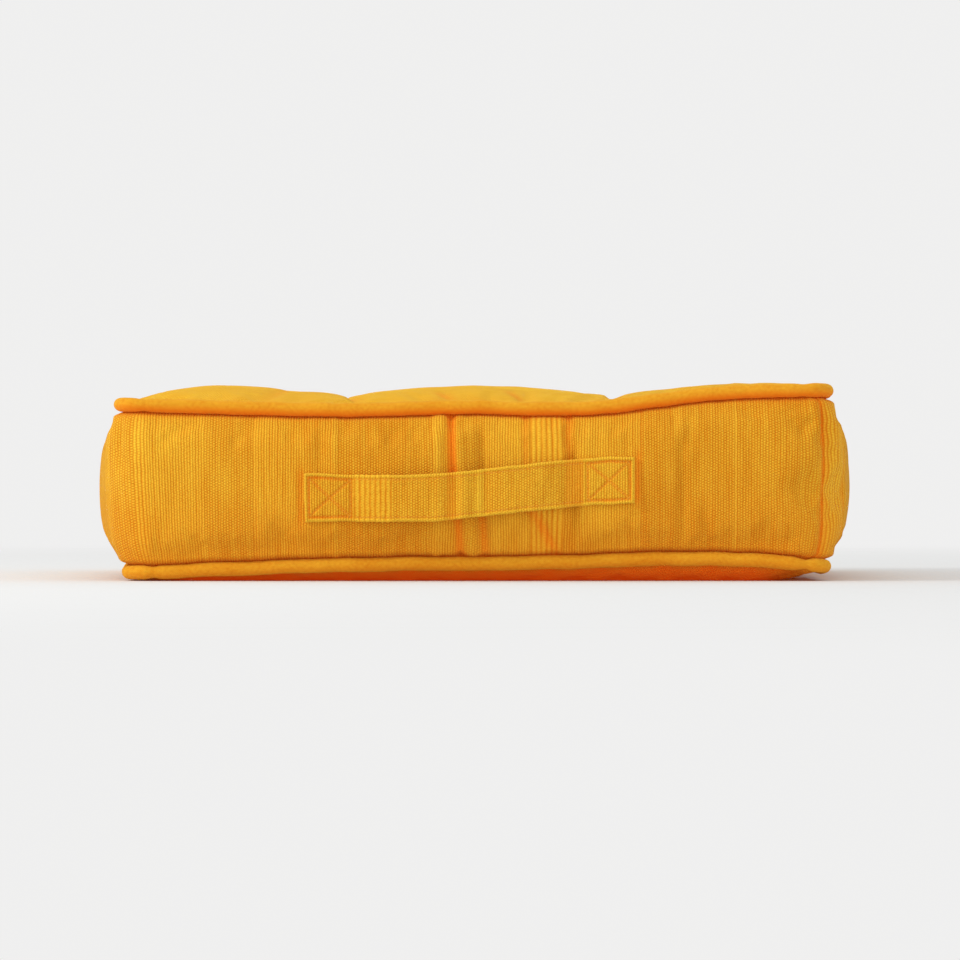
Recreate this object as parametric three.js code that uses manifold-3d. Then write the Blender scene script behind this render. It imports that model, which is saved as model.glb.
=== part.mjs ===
// Square tufted floor cushion with piped edges and a carry strap.
//
// A fibre filling in a plain inner bag is held in a cotton cover: a top panel, a bottom panel and two
// boxing strips, joined by two loops of corded piping. Four tufts of twine run through the whole height,
// and a carry strap is sewn to the front by a tab at each end.
//
// Units are millimetres, +Z is up, and the front with the strap faces -Y. The origin is the middle of the
// flat underside.

import * as THREE from "three";
import { mergeVertices } from "three/addons/utils/BufferGeometryUtils.js";
import Module from "manifold-3d";

const wasm = await Module();
wasm.setup();

// ---- Driving dimensions ----

const SIDE = 600; // finished size each way, over the piping
const LOWER_SEAM_Z = 14; // height of the lower piping's centre above the floor
const UPPER_SEAM_Z = 148; // height of the upper piping's centre
const CROWN_RISE = 18; // from the upper seam to the top panel's highest places
const SIDE_BULGE = 32; // how far the sides and back swell past the piping's centreline
const CORNER_BULGE = 3; // how far the corners do
const CORNER_RADIUS = 22; // plan radius of the piping's centreline

const PIPING_DIAMETER = 12;
const PIPING_FLANGE = 6; // width of the piping's sewn flange
const COVER_CLOTH = 1.2; // thickness of the cover fabric
const BAG_CLOTH = 0.8; // thickness of the inner bag
const SEWN_GAP = 0.4; // clearance between pieces that are sewn or lie together
const FILL_GAP = 2; // clearance between the cover, the bag and the filling

const TUFT_PITCH = 240; // distance between tufts, both ways
const TOP_TUFT_DROP = 26; // from the upper seam down to the top panel at a tuft
const BOTTOM_TUFT_RISE = 10; // from the lower seam up to the bottom panel at a tuft
const TUFT_SEAT = 15; // half side of the flat spot under a tuft's stitch
const TOP_DIMPLE = 100; // how far a dimple spreads past its seat
const BOTTOM_DIMPLE = 55;
const TWINE_DIAMETER = 2.4;
const TWINE_LEGS = 10; // distance between the two legs of a tuft

const STRAP_WIDTH = 40;
const STRAP_LENGTH = 278; // over both sewn tabs
const STRAP_CENTRE_X = -4;
const STRAP_THICKNESS = 3;
const TAB_LENGTH = 41; // length of each sewn tab
const LEFT_TAB_RISE = -11; // from half height to the left tab's middle
const RIGHT_TAB_RISE = 3;
const STRAP_TURN_X = -20; // the strap starts to rise towards its right tab here
const FINGER_GAP = 9; // how far the middle of the strap stands off the boxing
const THREAD_WIDTH = 1.2; // sewing thread, as it lies on the strap
const THREAD_HEIGHT = 0.6;
const STITCH_INSET = 4; // from the strap's edge to the middle of its stitching

const EDGE_ROLL = 105; // the top panel reaches its crown this far in from its rim
const FLOOR_ROLL = 75; // the bottom panel reaches the floor this far in from its rim

// ---- What follows from them ----

const PIPING_RADIUS = PIPING_DIAMETER / 2;
const PIPING_HALF = SIDE / 2 - PIPING_RADIUS; // half side of the piping's centreline
const PIPING_CLEAR = PIPING_RADIUS + SEWN_GAP; // what lies against the piping keeps this far from its centre
const FLANGE_OUTER = COVER_CLOTH + SEWN_GAP / 2; // half the thickness of the piping's flange
const FLANGE_CLEAR = FLANGE_OUTER + SEWN_GAP;
const PANEL_HALF = PIPING_HALF - PIPING_CLEAR; // half side of the top and bottom panels
const PANEL_RADIUS = CORNER_RADIUS - PIPING_CLEAR;
const TOP_RIM_Z = UPPER_SEAM_Z + FLANGE_CLEAR + COVER_CLOTH; // outer face of the top panel, at its rim
const BOTTOM_RIM_Z = LOWER_SEAM_Z - FLANGE_CLEAR - COVER_CLOTH;
const MIDDLE_Z = (UPPER_SEAM_Z + LOWER_SEAM_Z) / 2;
const CROWN_Z = UPPER_SEAM_Z + CROWN_RISE;
const TUFT_TOP_Z = UPPER_SEAM_Z - TOP_TUFT_DROP;
const TUFT_BOTTOM_Z = LOWER_SEAM_Z + BOTTOM_TUFT_RISE;
const SWELL_HALF = (UPPER_SEAM_Z - LOWER_SEAM_Z) / 2 - PIPING_CLEAR; // half the height that swells
const THREAD_SEAT = STRAP_THICKNESS + SEWN_GAP; // from the back of the strap to the back of its stitching
const STRAP_PROUD = SEWN_GAP + FINGER_GAP + THREAD_SEAT + THREAD_HEIGHT;
const FRONT_BULGE = SIDE_BULGE - STRAP_PROUD; // the strap reaches as far forward as the back swells
const TUFT = TUFT_PITCH / 2;
const STRAP_LEFT = STRAP_CENTRE_X - STRAP_LENGTH / 2;
const STRAP_RIGHT = STRAP_CENTRE_X + STRAP_LENGTH / 2;
const GRIP_LEFT = STRAP_LEFT + TAB_LENGTH;
const GRIP_RIGHT = STRAP_RIGHT - TAB_LENGTH;

const SQUARE_NORM = 8; // power of the norm that tells how far in from the rim a point lies
const OUTER_LINES = 3; // grid lines from a tuft's seat to the corner's round
const CORNER_STEPS = 4;
const SWELL_STEPS = 6;
const PIPING_STEPS = 10;
const CORD_SIDES = 8;
const TWINE_SIDES = 6;
const TAB_STEPS = 5;
const GRIP_STEPS = 16;
const HOLE_SIDES = 12;

const finish = (color, roughness) => new THREE.MeshStandardMaterial({ color, roughness, metalness: 0 });
const RIBBED_COTTON = finish(0xe39f27, 0.9);
const PIPING_COTTON = finish(0xdd9624, 0.85);
const CALICO = finish(0xe9e4d8, 0.95);
const FIBRE = finish(0xf4f2ec, 1);
const CORD = finish(0xe6dfcf, 0.95);
const THREAD = finish(0xd8861c, 0.7);

// ---- Solids from points ----

// Two triangles for each cell of a grid of vertex numbers.
function cells(rows) {
  const triangles = [];
  for (let i = 0; i + 1 < rows.length; i++) {
    for (let j = 0; j + 1 < rows[i].length; j++) {
      triangles.push([rows[i][j], rows[i + 1][j], rows[i + 1][j + 1]]);
      triangles.push([rows[i][j], rows[i + 1][j + 1], rows[i][j + 1]]);
    }
  }
  return triangles;
}

const reversed = (triangles) => triangles.map(([a, b, c]) => [a, c, b]);

// Adds a surface's points to a list, and gives the grid of their numbers.
function addGrid(points, rowCount, columnCount, surface) {
  const grid = [];
  for (let i = 0; i < rowCount; i++) {
    grid.push([]);
    for (let j = 0; j < columnCount; j++) {
      grid[i].push(points.push(surface(i, j)) - 1);
    }
  }
  return grid;
}

// The numbers round a grid's edge, from the end of its first column and back to it.
function rim(grid) {
  const last = grid.length - 1;
  const end = grid[0].length - 1;
  return [
    ...grid[last].slice(0, end),
    ...grid.map((row) => row[end]).reverse().slice(0, last),
    ...grid[0].slice(1).reverse(),
    ...grid.map((row) => row[0]),
  ];
}

// A closed geometry from points and triangles that all face the same way, turned to face outwards.
function closedGeometry(points, triangles) {
  const corner = [new THREE.Vector3(), new THREE.Vector3(), new THREE.Vector3()];
  let volume = 0;
  for (const triangle of triangles) {
    triangle.forEach((number, k) => corner[k].fromArray(points[number]));
    volume += corner[0].dot(corner[1].cross(corner[2]));
  }
  const geometry = new THREE.BufferGeometry();
  geometry.setAttribute("position", new THREE.Float32BufferAttribute(points.flat(), 3));
  geometry.setIndex((volume < 0 ? reversed(triangles) : triangles).flat());
  return geometry;
}

// The solid between an outer and an inner surface, each a function of the grid's row and column.
function sheetGeometry(rowCount, columnCount, outer, inner) {
  const points = [];
  const near = addGrid(points, rowCount, columnCount, outer);
  const far = addGrid(points, rowCount, columnCount, inner);
  return closedGeometry(points, [...cells(near), ...reversed(cells(far)), ...cells([rim(near), rim(far)])]);
}

// A section of [outward, upward] points, carried round a closed loop of stations.
function loopGeometry(stations, section, place) {
  const points = [];
  const grid = addGrid(points, stations.length, section.length, (i, j) => place(stations[i], section[j]));
  const rows = [...grid, grid[0]].map((row) => [...row, row[0]]);
  return closedGeometry(points, cells(rows));
}

// ---- Joining and cutting ----

function toSolid(geometry) {
  const bare = new THREE.BufferGeometry();
  bare.setAttribute("position", geometry.getAttribute("position"));
  bare.setIndex(geometry.index);
  const { attributes, index } = mergeVertices(bare);
  const vertProperties = attributes.position.array;
  const triVerts = new Uint32Array(index.array);
  return new wasm.Manifold(new wasm.Mesh({ numProp: 3, vertProperties, triVerts }));
}

function toGeometry(solid) {
  const { vertProperties, triVerts } = solid.getMesh();
  const geometry = new THREE.BufferGeometry();
  geometry.setAttribute("position", new THREE.BufferAttribute(vertProperties, 3));
  geometry.setIndex(new THREE.BufferAttribute(triVerts, 1));
  return geometry;
}

function united(geometries) {
  return toGeometry(geometries.map(toSolid).reduce((whole, piece) => whole.add(piece)));
}

function cut(geometry, tools) {
  return toGeometry(tools.map(toSolid).reduce((left, tool) => left.subtract(tool), toSolid(geometry)));
}

// ---- Plan shapes ----

// Stations round a rectangle with round corners, each with its outward normal.
function roundedLoop(halfWidth, halfHeight, radius, cornerSteps) {
  const stations = [];
  const middles = [[1, -1], [1, 1], [-1, 1], [-1, -1]];
  middles.forEach(([sideX, sideY], corner) => {
    for (let step = 0; step <= cornerSteps; step++) {
      const angle = (Math.PI / 2) * (corner - 1 + step / cornerSteps);
      const normal = [Math.cos(angle), Math.sin(angle)];
      const x = sideX * (halfWidth - radius) + radius * normal[0];
      const y = sideY * (halfHeight - radius) + radius * normal[1];
      stations.push({ x, y, normal });
    }
  });
  return stations;
}

// Coordinates of a layer's grid lines: they meet the edges of the tufts' seats and, where the corners are
// finely rounded, the start of the rounds. The inner lines are the same in every layer, so that layers nest.
function gridLines({ half, radius, fineCorners }) {
  const seatEnd = TUFT + TUFT_SEAT;
  const step = (PANEL_HALF - PANEL_RADIUS - seatEnd) / OUTER_LINES;
  const positive = [(TUFT - TUFT_SEAT) / 2, TUFT - TUFT_SEAT];
  for (let k = 0; k < OUTER_LINES; k++) positive.push(seatEnd + k * step);
  if (fineCorners) positive.push(half - radius);
  positive.push(half);
  return [...positive.map((x) => -x).reverse(), 0, ...positive];
}

// How far a point of a square reaches into its corner's round, along x and y. Squares within the tufts
// have sharp corners, and they grow rounder towards the edge.
function intoCorner(u, v, { half, radius }) {
  const reach = Math.max(Math.abs(u), Math.abs(v));
  const seatEnd = TUFT + TUFT_SEAT;
  const round = (radius * Math.max(0, reach - seatEnd)) / (half - seatEnd);
  return { flat: reach - round, round, a: Math.abs(u) - reach + round, b: Math.abs(v) - reach + round };
}

// Moves a point of a square onto the rounded square that lies inside it.
function roundedPoint(u, v, layer) {
  const { flat, round, a, b } = intoCorner(u, v, layer);
  if (a <= 0 || b <= 0) return [u, v];
  const pull = round / Math.hypot(a, b);
  return [Math.sign(u) * (flat + a * pull), Math.sign(v) * (flat + b * pull)];
}

// Stations round a layer's edge, anticlockwise from the middle of the front right corner.
function edgeStations(layer) {
  const lines = gridLines(layer);
  const grid = lines.map((u) => lines.map((v) => [u, v]));
  const edge = rim(grid).slice(0, -1);
  return edge.map(([u, v]) => {
    const [x, y] = roundedPoint(u, v, layer);
    const { a, b } = intoCorner(u, v, layer);
    const inCorner = a > 0 && b > 0;
    const size = Math.hypot(a, b);
    const across = Math.abs(u) > Math.abs(v);
    const normal = inCorner
      ? [(Math.sign(u) * a) / size, (Math.sign(v) * b) / size]
      : [across ? Math.sign(u) : 0, across ? 0 : Math.sign(v)];
    const along = inCorner ? 1 : (across ? v : u) / (layer.half - layer.radius);
    return { x, y, normal, bulge: bulgeAt(along, !across && v < 0) };
  });
}

// ---- The cushion's surfaces ----

// How far the boxing swells at half height, at a place from -1 to 1 along a side.
function bulgeAt(along, isFront) {
  const most = isFront ? FRONT_BULGE : SIDE_BULGE;
  return CORNER_BULGE + (most - CORNER_BULGE) * (1 - Math.abs(along) ** 3);
}

// The swell at height z is a parabola between the two rows of piping.
function swell(bulge, z) {
  return bulge * (1 - ((z - MIDDLE_Z) / SWELL_HALF) ** 2);
}

// Distance from the middle plane to the front boxing's outer face.
function frontFace(x, z) {
  return PIPING_HALF + swell(bulgeAt(x / (PIPING_HALF - CORNER_RADIUS), true), z);
}

function distanceFromRim(x, y) {
  const norm = (Math.abs(x) ** SQUARE_NORM + Math.abs(y) ** SQUARE_NORM) ** (1 / SQUARE_NORM);
  return Math.max(0, PANEL_HALF - norm);
}

// 1 on a tuft's seat, falling to 0 where its dimple ends.
function dimple(x, y, spread) {
  const distance = Math.hypot(Math.abs(x) - TUFT, Math.abs(y) - TUFT);
  const outside = Math.max(0, distance - TUFT_SEAT * Math.SQRT2) / spread;
  return Math.max(0, 1 - outside) ** 2;
}

const quarterSine = (share) => Math.sin((Math.PI / 2) * Math.min(1, share));

function topFace(x, y) {
  const crown = TOP_RIM_Z + (CROWN_Z - TOP_RIM_Z) * quarterSine(distanceFromRim(x, y) / EDGE_ROLL);
  return crown + (TUFT_TOP_Z - crown) * dimple(x, y, TOP_DIMPLE);
}

function bottomFace(x, y) {
  const floor = BOTTOM_RIM_Z * (1 - quarterSine(distanceFromRim(x, y) / FLOOR_ROLL));
  return floor + (TUFT_BOTTOM_Z - floor) * dimple(x, y, BOTTOM_DIMPLE);
}

// ---- Cover ----

const PANEL_LAYER = { half: PANEL_HALF, radius: PANEL_RADIUS, fineCorners: true };

// The point of a layer at a row and a column of its grid, on a face that gives the height at (x, y).
function layerPoint(layer, face) {
  const lines = gridLines(layer);
  return (i, j) => {
    const [x, y] = roundedPoint(lines[i], lines[j], layer);
    return [x, y, face(x, y)];
  };
}

function panelGeometry(outerFace, innerFace) {
  const count = gridLines(PANEL_LAYER).length;
  return sheetGeometry(count, count, layerPoint(PANEL_LAYER, outerFace), layerPoint(PANEL_LAYER, innerFace));
}

function topPanel() {
  const panel = panelGeometry(topFace, (x, y) => topFace(x, y) - COVER_CLOTH);
  return cut(panel, tuftPlaces().flatMap(twineHoles));
}

function bottomPanel() {
  const panel = panelGeometry(bottomFace, (x, y) => bottomFace(x, y) + COVER_CLOTH);
  return cut(panel, tuftPlaces().flatMap(twineHoles));
}

// The boxing's outer face from its upper seam allowance, round the piping and over its swell, and back
// under the lower piping. Each point is [distance past the piping's centreline, height].
function boxingOutline(bulge) {
  const start = Math.asin(FLANGE_CLEAR / PIPING_CLEAR);
  const upper = [[-PIPING_RADIUS - PIPING_FLANGE, -FLANGE_CLEAR]];
  for (const share of [0, 0.5, 1]) {
    const angle = start + (Math.PI / 2 - start) * share;
    upper.push([-PIPING_CLEAR * Math.cos(angle), -PIPING_CLEAR * Math.sin(angle)]);
  }
  const middle = [];
  for (let step = 1; step < SWELL_STEPS; step++) {
    const z = MIDDLE_Z + SWELL_HALF * (1 - (2 * step) / SWELL_STEPS);
    middle.push([swell(bulge, z), z]);
  }
  return [
    ...upper.map(([out, up]) => [out, UPPER_SEAM_Z + up]),
    ...middle,
    ...upper.map(([out, up]) => [out, LOWER_SEAM_Z - up]).reverse(),
  ];
}

// An open outline moved to its right by a distance.
function offsetOutline(outline, distance) {
  return outline.map(([out, z], k) => {
    const before = outline[Math.max(0, k - 1)];
    const after = outline[Math.min(outline.length - 1, k + 1)];
    const way = new THREE.Vector2(after[0] - before[0], after[1] - before[1]).normalize();
    return [out + way.y * distance, z - way.x * distance];
  });
}

// A strip of boxing over a run of stations. Its ends stand back from the corner seams.
function boxingStrip(stations) {
  const last = stations.length - 1;
  const setBack = (i) => (i === 0 ? SEWN_GAP / 2 : i === last ? -SEWN_GAP / 2 : 0);
  const outlines = stations.map(({ bulge }) => boxingOutline(bulge));
  const inners = outlines.map((outline) => offsetOutline(outline, COVER_CLOTH));
  const onFace = (faces) => (i, j) => {
    const { x, y, normal } = stations[i];
    const [out, z] = faces[i][j];
    const [alongX, alongY] = [-normal[1] * setBack(i), normal[0] * setBack(i)];
    return [x + normal[0] * out + alongX, y + normal[1] * out + alongY, z];
  };
  return sheetGeometry(stations.length, outlines[0].length, onFace(outlines), onFace(inners));
}

// The strips meet at the front right and the back left corners.
function boxing() {
  const stations = edgeStations({ half: PIPING_HALF, radius: CORNER_RADIUS, fineCorners: true });
  const middle = stations.length / 2;
  return {
    rightBack: boxingStrip(stations.slice(0, middle + 1)),
    frontLeft: boxingStrip([...stations.slice(middle), stations[0]]),
  };
}

// ---- Piping ----

// Points of an arc round the piping's centre, from just above its flange, over the outside, to just below.
function wrapArc(radius, flangeHeight) {
  const start = Math.PI - Math.asin(flangeHeight / radius);
  const arc = [];
  for (let step = 0; step <= PIPING_STEPS; step++) {
    const angle = start * (1 - (2 * step) / PIPING_STEPS);
    arc.push([radius * Math.cos(angle), radius * Math.sin(angle)]);
  }
  return arc;
}

// A bias strip wrapped round the cord, with its two edges laid together as a flange.
function pipingCover(seamZ) {
  const end = -PIPING_RADIUS - PIPING_FLANGE;
  const slit = SEWN_GAP / 2;
  const section = [
    [end, FLANGE_OUTER],
    ...wrapArc(PIPING_RADIUS, FLANGE_OUTER),
    [end, -FLANGE_OUTER],
    [end, -slit],
    ...wrapArc(PIPING_RADIUS - COVER_CLOTH, slit).reverse(),
    [end, slit],
  ];
  return pipingLoop(section, seamZ);
}

function pipingCord(seamZ) {
  const radius = PIPING_RADIUS - COVER_CLOTH - SEWN_GAP;
  return pipingLoop(circleSection(radius, CORD_SIDES), seamZ);
}

function circleSection(radius, sides) {
  const turns = Array.from({ length: sides }, (_, k) => (2 * Math.PI * k) / sides);
  return turns.map((angle) => [radius * Math.cos(angle), radius * Math.sin(angle)]);
}

function pipingLoop(section, seamZ) {
  const stations = roundedLoop(PIPING_HALF, PIPING_HALF, CORNER_RADIUS, CORNER_STEPS);
  const place = ({ x, y, normal }, [out, up]) => [x + normal[0] * out, y + normal[1] * out, seamZ + up];
  return loopGeometry(stations, section, place);
}

// ---- Inner bag and filling ----

// A closed pillow that keeps a clearance inside the cover. Its edges lie where the panels' corners start to
// round, and its sides swell out from there as a parabola.
function pillow(clearance) {
  const layer = { half: PIPING_HALF - CORNER_RADIUS - clearance, radius: PANEL_RADIUS, fineCorners: false };
  const count = gridLines(layer).length;
  const points = [];
  const upperFace = (x, y) => topFace(x, y) - COVER_CLOTH - clearance;
  const lowerFace = (x, y) => bottomFace(x, y) + COVER_CLOTH + clearance;
  const top = addGrid(points, count, count, layerPoint(layer, upperFace));
  const bottom = addGrid(points, count, count, layerPoint(layer, lowerFace));
  const [upperRim, lowerRim] = [rim(top), rim(bottom)];
  const stations = edgeStations(layer);
  const sides = addGrid(points, SWELL_STEPS - 1, stations.length, (i, j) => {
    const share = (i + 1) / SWELL_STEPS;
    const { x, y, normal, bulge } = stations[j];
    const out = (bulge + CORNER_RADIUS - COVER_CLOTH) * (1 - (1 - 2 * share) ** 2);
    const z = points[upperRim[j]][2] * (1 - share) + points[lowerRim[j]][2] * share;
    return [x + normal[0] * out, y + normal[1] * out, z];
  });
  const rows = [upperRim, ...sides.map((row) => [...row, row[0]]), lowerRim];
  return closedGeometry(points, [...cells(top), ...reversed(cells(bottom)), ...cells(rows)]);
}

function innerBag() {
  return cut(pillow(FILL_GAP), [pillow(FILL_GAP + BAG_CLOTH), ...tuftPlaces().map(tuftHole)]);
}

function fibreFill() {
  return cut(pillow(FILL_GAP + BAG_CLOTH + FILL_GAP), tuftPlaces().map(tuftHole));
}

// ---- Tufts ----

function tuftPlaces() {
  return [
    { name: "front_left", x: -TUFT, y: -TUFT },
    { name: "front_right", x: TUFT, y: -TUFT },
    { name: "back_left", x: -TUFT, y: TUFT },
    { name: "back_right", x: TUFT, y: TUFT },
  ];
}

// An upright drill that reaches through the whole cushion.
function drill(x, y, radius) {
  const length = 2 * CROWN_Z;
  const tool = new THREE.CylinderGeometry(radius, radius, length, HOLE_SIDES);
  return tool.rotateX(Math.PI / 2).translate(x, y, 0);
}

function twineHoles({ x, y }) {
  const radius = TWINE_DIAMETER / 2 + SEWN_GAP;
  return [-TWINE_LEGS / 2, TWINE_LEGS / 2].map((leg) => drill(x + leg, y, radius));
}

function tuftHole({ x, y }) {
  return drill(x, y, (TWINE_LEGS + TWINE_DIAMETER) / 2 + SEWN_GAP);
}

// A tied loop of twine: a stitch over the top panel, two legs, and a stitch under the bottom panel. It bends
// only once it is through a panel.
function tuftTwine({ x, y }) {
  const lift = TWINE_DIAMETER / 2 + SEWN_GAP;
  const halfHeight = (TUFT_TOP_Z - TUFT_BOTTOM_Z) / 2 + lift;
  const middle = (TUFT_TOP_Z + TUFT_BOTTOM_Z) / 2;
  const stations = roundedLoop(TWINE_LEGS / 2, halfHeight, lift, CORNER_STEPS);
  const section = circleSection(TWINE_DIAMETER / 2, TWINE_SIDES);
  return loopGeometry(stations, section, (station, [out, side]) => [
    x + station.x + station.normal[0] * out,
    y + side,
    middle + station.y + station.normal[1] * out,
  ]);
}

// ---- Carry strap ----

// Height of the strap's middle: level from the left tab, then rising smoothly to the right tab.
function strapZ(x) {
  const share = THREE.MathUtils.smoothstep(x, STRAP_TURN_X, GRIP_RIGHT);
  return MIDDLE_Z + THREE.MathUtils.lerp(LEFT_TAB_RISE, RIGHT_TAB_RISE, share);
}

// Distance from the middle plane to the back of a tab, which lies on the boxing.
function tabBack(x, w) {
  return frontFace(x, strapZ(x) + w) + SEWN_GAP;
}

// The same for the grip, which is straight across its width and bows away from the boxing.
function gripBack(x) {
  const z = THREE.MathUtils.clamp(MIDDLE_Z, strapZ(x) - STRAP_WIDTH / 2, strapZ(x) + STRAP_WIDTH / 2);
  const share = (x - GRIP_LEFT) / (GRIP_RIGHT - GRIP_LEFT);
  const bow = FINGER_GAP * Math.sin(Math.PI * THREE.MathUtils.clamp(share, 0, 1));
  return frontFace(x, z) + SEWN_GAP + bow;
}

// A band from one place on the strap to another, each [x, w], with w measured up from the strap's middle.
// The surface gives the distance of the strap's back at (x, w), and the band lies from low to high over it.
function band([x0, w0], [x1, w1], { width, low, high, surface, steps, widthSteps }) {
  const way = new THREE.Vector2(x1 - x0, w1 - w0).normalize();
  const at = (height) => (i, j) => {
    const along = i / steps;
    const side = width * (j / widthSteps - 0.5);
    const x = x0 + (x1 - x0) * along - way.y * side;
    const w = w0 + (w1 - w0) * along + way.x * side;
    return [x, -surface(x, w) - height, strapZ(x) + w];
  };
  return sheetGeometry(steps + 1, widthSteps + 1, at(high), at(low));
}

const STRAP_BAND = { width: STRAP_WIDTH, low: 0, high: STRAP_THICKNESS };
const THREAD_BAND = { width: THREAD_WIDTH, low: THREAD_SEAT, high: THREAD_SEAT + THREAD_HEIGHT };

function tab(left) {
  const shape = { ...STRAP_BAND, surface: tabBack, steps: TAB_STEPS, widthSteps: TAB_STEPS };
  return band([left, 0], [left + TAB_LENGTH, 0], shape);
}

function grip() {
  const shape = { ...STRAP_BAND, surface: gripBack, steps: GRIP_STEPS, widthSteps: 1 };
  return band([GRIP_LEFT + SEWN_GAP, 0], [GRIP_RIGHT - SEWN_GAP, 0], shape);
}

// The square of stitching with a cross in it that holds a tab.
function boxStitch(left) {
  const [x0, x1] = [left + STITCH_INSET, left + TAB_LENGTH - STITCH_INSET];
  const [w0, w1] = [STITCH_INSET - STRAP_WIDTH / 2, STRAP_WIDTH / 2 - STITCH_INSET];
  const over = THREAD_WIDTH / 2;
  const lines = [
    [[x0 - over, w0], [x1 + over, w0]],
    [[x0 - over, w1], [x1 + over, w1]],
    [[x0, w0], [x0, w1]],
    [[x1, w0], [x1, w1]],
    [[x0, w0], [x1, w1]],
    [[x0, w1], [x1, w0]],
  ];
  const shape = { ...THREAD_BAND, surface: tabBack, steps: TAB_STEPS, widthSteps: 1 };
  return united(lines.map(([from, to]) => band(from, to, shape)));
}

// A row of stitching along one edge of the grip.
function edgeStitch(w) {
  const shape = { ...THREAD_BAND, surface: gripBack, steps: GRIP_STEPS, widthSteps: 1 };
  return band([GRIP_LEFT + STITCH_INSET, w], [GRIP_RIGHT - STITCH_INSET, w], shape);
}

// ---- Assembly ----

const cushion = new THREE.Group();

function add(name, geometry, material) {
  const mesh = new THREE.Mesh(geometry, material);
  geometry.computeVertexNormals();
  mesh.name = name;
  cushion.add(mesh);
}

const { frontLeft, rightBack } = boxing();
const stitchRow = STRAP_WIDTH / 2 - STITCH_INSET;
add("top_panel", topPanel(), RIBBED_COTTON);
add("bottom_panel", bottomPanel(), RIBBED_COTTON);
add("boxing_front_left", frontLeft, RIBBED_COTTON);
add("boxing_right_back", rightBack, RIBBED_COTTON);
add("top_piping_cover", pipingCover(UPPER_SEAM_Z), PIPING_COTTON);
add("bottom_piping_cover", pipingCover(LOWER_SEAM_Z), PIPING_COTTON);
add("top_piping_cord", pipingCord(UPPER_SEAM_Z), CORD);
add("bottom_piping_cord", pipingCord(LOWER_SEAM_Z), CORD);
add("inner_bag", innerBag(), CALICO);
add("fibre_fill", fibreFill(), FIBRE);
for (const place of tuftPlaces()) add("tuft_twine_" + place.name, tuftTwine(place), CORD);
add("handle_tab_left", tab(STRAP_LEFT), RIBBED_COTTON);
add("handle_tab_right", tab(GRIP_RIGHT), RIBBED_COTTON);
add("handle_grip", grip(), RIBBED_COTTON);
add("handle_stitch_left", boxStitch(STRAP_LEFT), THREAD);
add("handle_stitch_right", boxStitch(GRIP_RIGHT), THREAD);
add("grip_stitch_upper", edgeStitch(stitchRow), THREAD);
add("grip_stitch_lower", edgeStitch(-stitchRow), THREAD);

export default cushion;
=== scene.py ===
"""The looks of a square, tufted floor cushion with piped edges and a carry strap.

The cover is one closed skin, worked out as three surfaces: a top panel drawn down by four tufts, a ring of
boxing that swells between two loops of piping, and a bottom panel that lies on the floor. The skin is filled
by a cloth simulation, then cut into its sewn pieces. The piping, inner bag, filling, tufts and carry strap
are built on the same surfaces. All lengths are metres, +Z is up and the front with the strap faces -Y.
"""

import logging
import math
from dataclasses import dataclass, field
from enum import Enum, IntEnum

import bpy
import numpy as np
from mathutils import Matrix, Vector
from mathutils.bvhtree import BVHTree


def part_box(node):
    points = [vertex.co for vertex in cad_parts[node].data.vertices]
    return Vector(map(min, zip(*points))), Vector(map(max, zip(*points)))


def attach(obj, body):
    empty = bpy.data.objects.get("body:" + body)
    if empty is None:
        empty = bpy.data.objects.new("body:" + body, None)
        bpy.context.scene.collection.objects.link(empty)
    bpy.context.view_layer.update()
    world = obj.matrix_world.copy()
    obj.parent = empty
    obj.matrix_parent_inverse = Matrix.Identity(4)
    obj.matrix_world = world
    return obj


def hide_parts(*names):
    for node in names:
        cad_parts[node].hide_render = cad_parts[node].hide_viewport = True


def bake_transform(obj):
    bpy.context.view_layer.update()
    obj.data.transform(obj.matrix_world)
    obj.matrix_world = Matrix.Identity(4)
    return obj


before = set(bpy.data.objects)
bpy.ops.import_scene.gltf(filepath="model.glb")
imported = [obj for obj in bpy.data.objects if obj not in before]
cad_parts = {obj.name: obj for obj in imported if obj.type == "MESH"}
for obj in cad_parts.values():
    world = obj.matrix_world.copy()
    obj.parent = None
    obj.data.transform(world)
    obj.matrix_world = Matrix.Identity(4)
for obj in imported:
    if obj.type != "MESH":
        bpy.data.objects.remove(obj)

logging.basicConfig(level=logging.INFO, format="%(message)s")
log = logging.getLogger("cushion")

MM = 0.001
CUSHION = "cushion"
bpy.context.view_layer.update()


class Edge(Enum):
    """The two piped edges of the cover."""

    UPPER = "top"
    LOWER = "bottom"


class Weave(Enum):
    """How a band of the cotton is woven."""

    FINE_RIB = (0.0, 0.0)
    BASKET = (1.0, 0.0)
    COARSE_RIB = (0.0, 1.0)


class Seed(IntEnum):
    """Which waves each unevenness is drawn from."""

    UPPER_SEAM = 3
    LOWER_SEAM = 4
    CROWN = 11
    BOXING_PUCKER = 21
    BOXING_SWELL = 22
    CORNER_SEAM = 23
    TUFT_GATHER = 31
    PANEL_PUCKER = 32
    PANEL_SWELL = 33
    UPPER_WANDER = 41
    LOWER_WANDER = 42
    UPPER_GIRTH = 43
    LOWER_GIRTH = 44
    STRAP_YARN = 51
    STRAP_SWELL = 52
    STRAP_EDGE = 53


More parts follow.
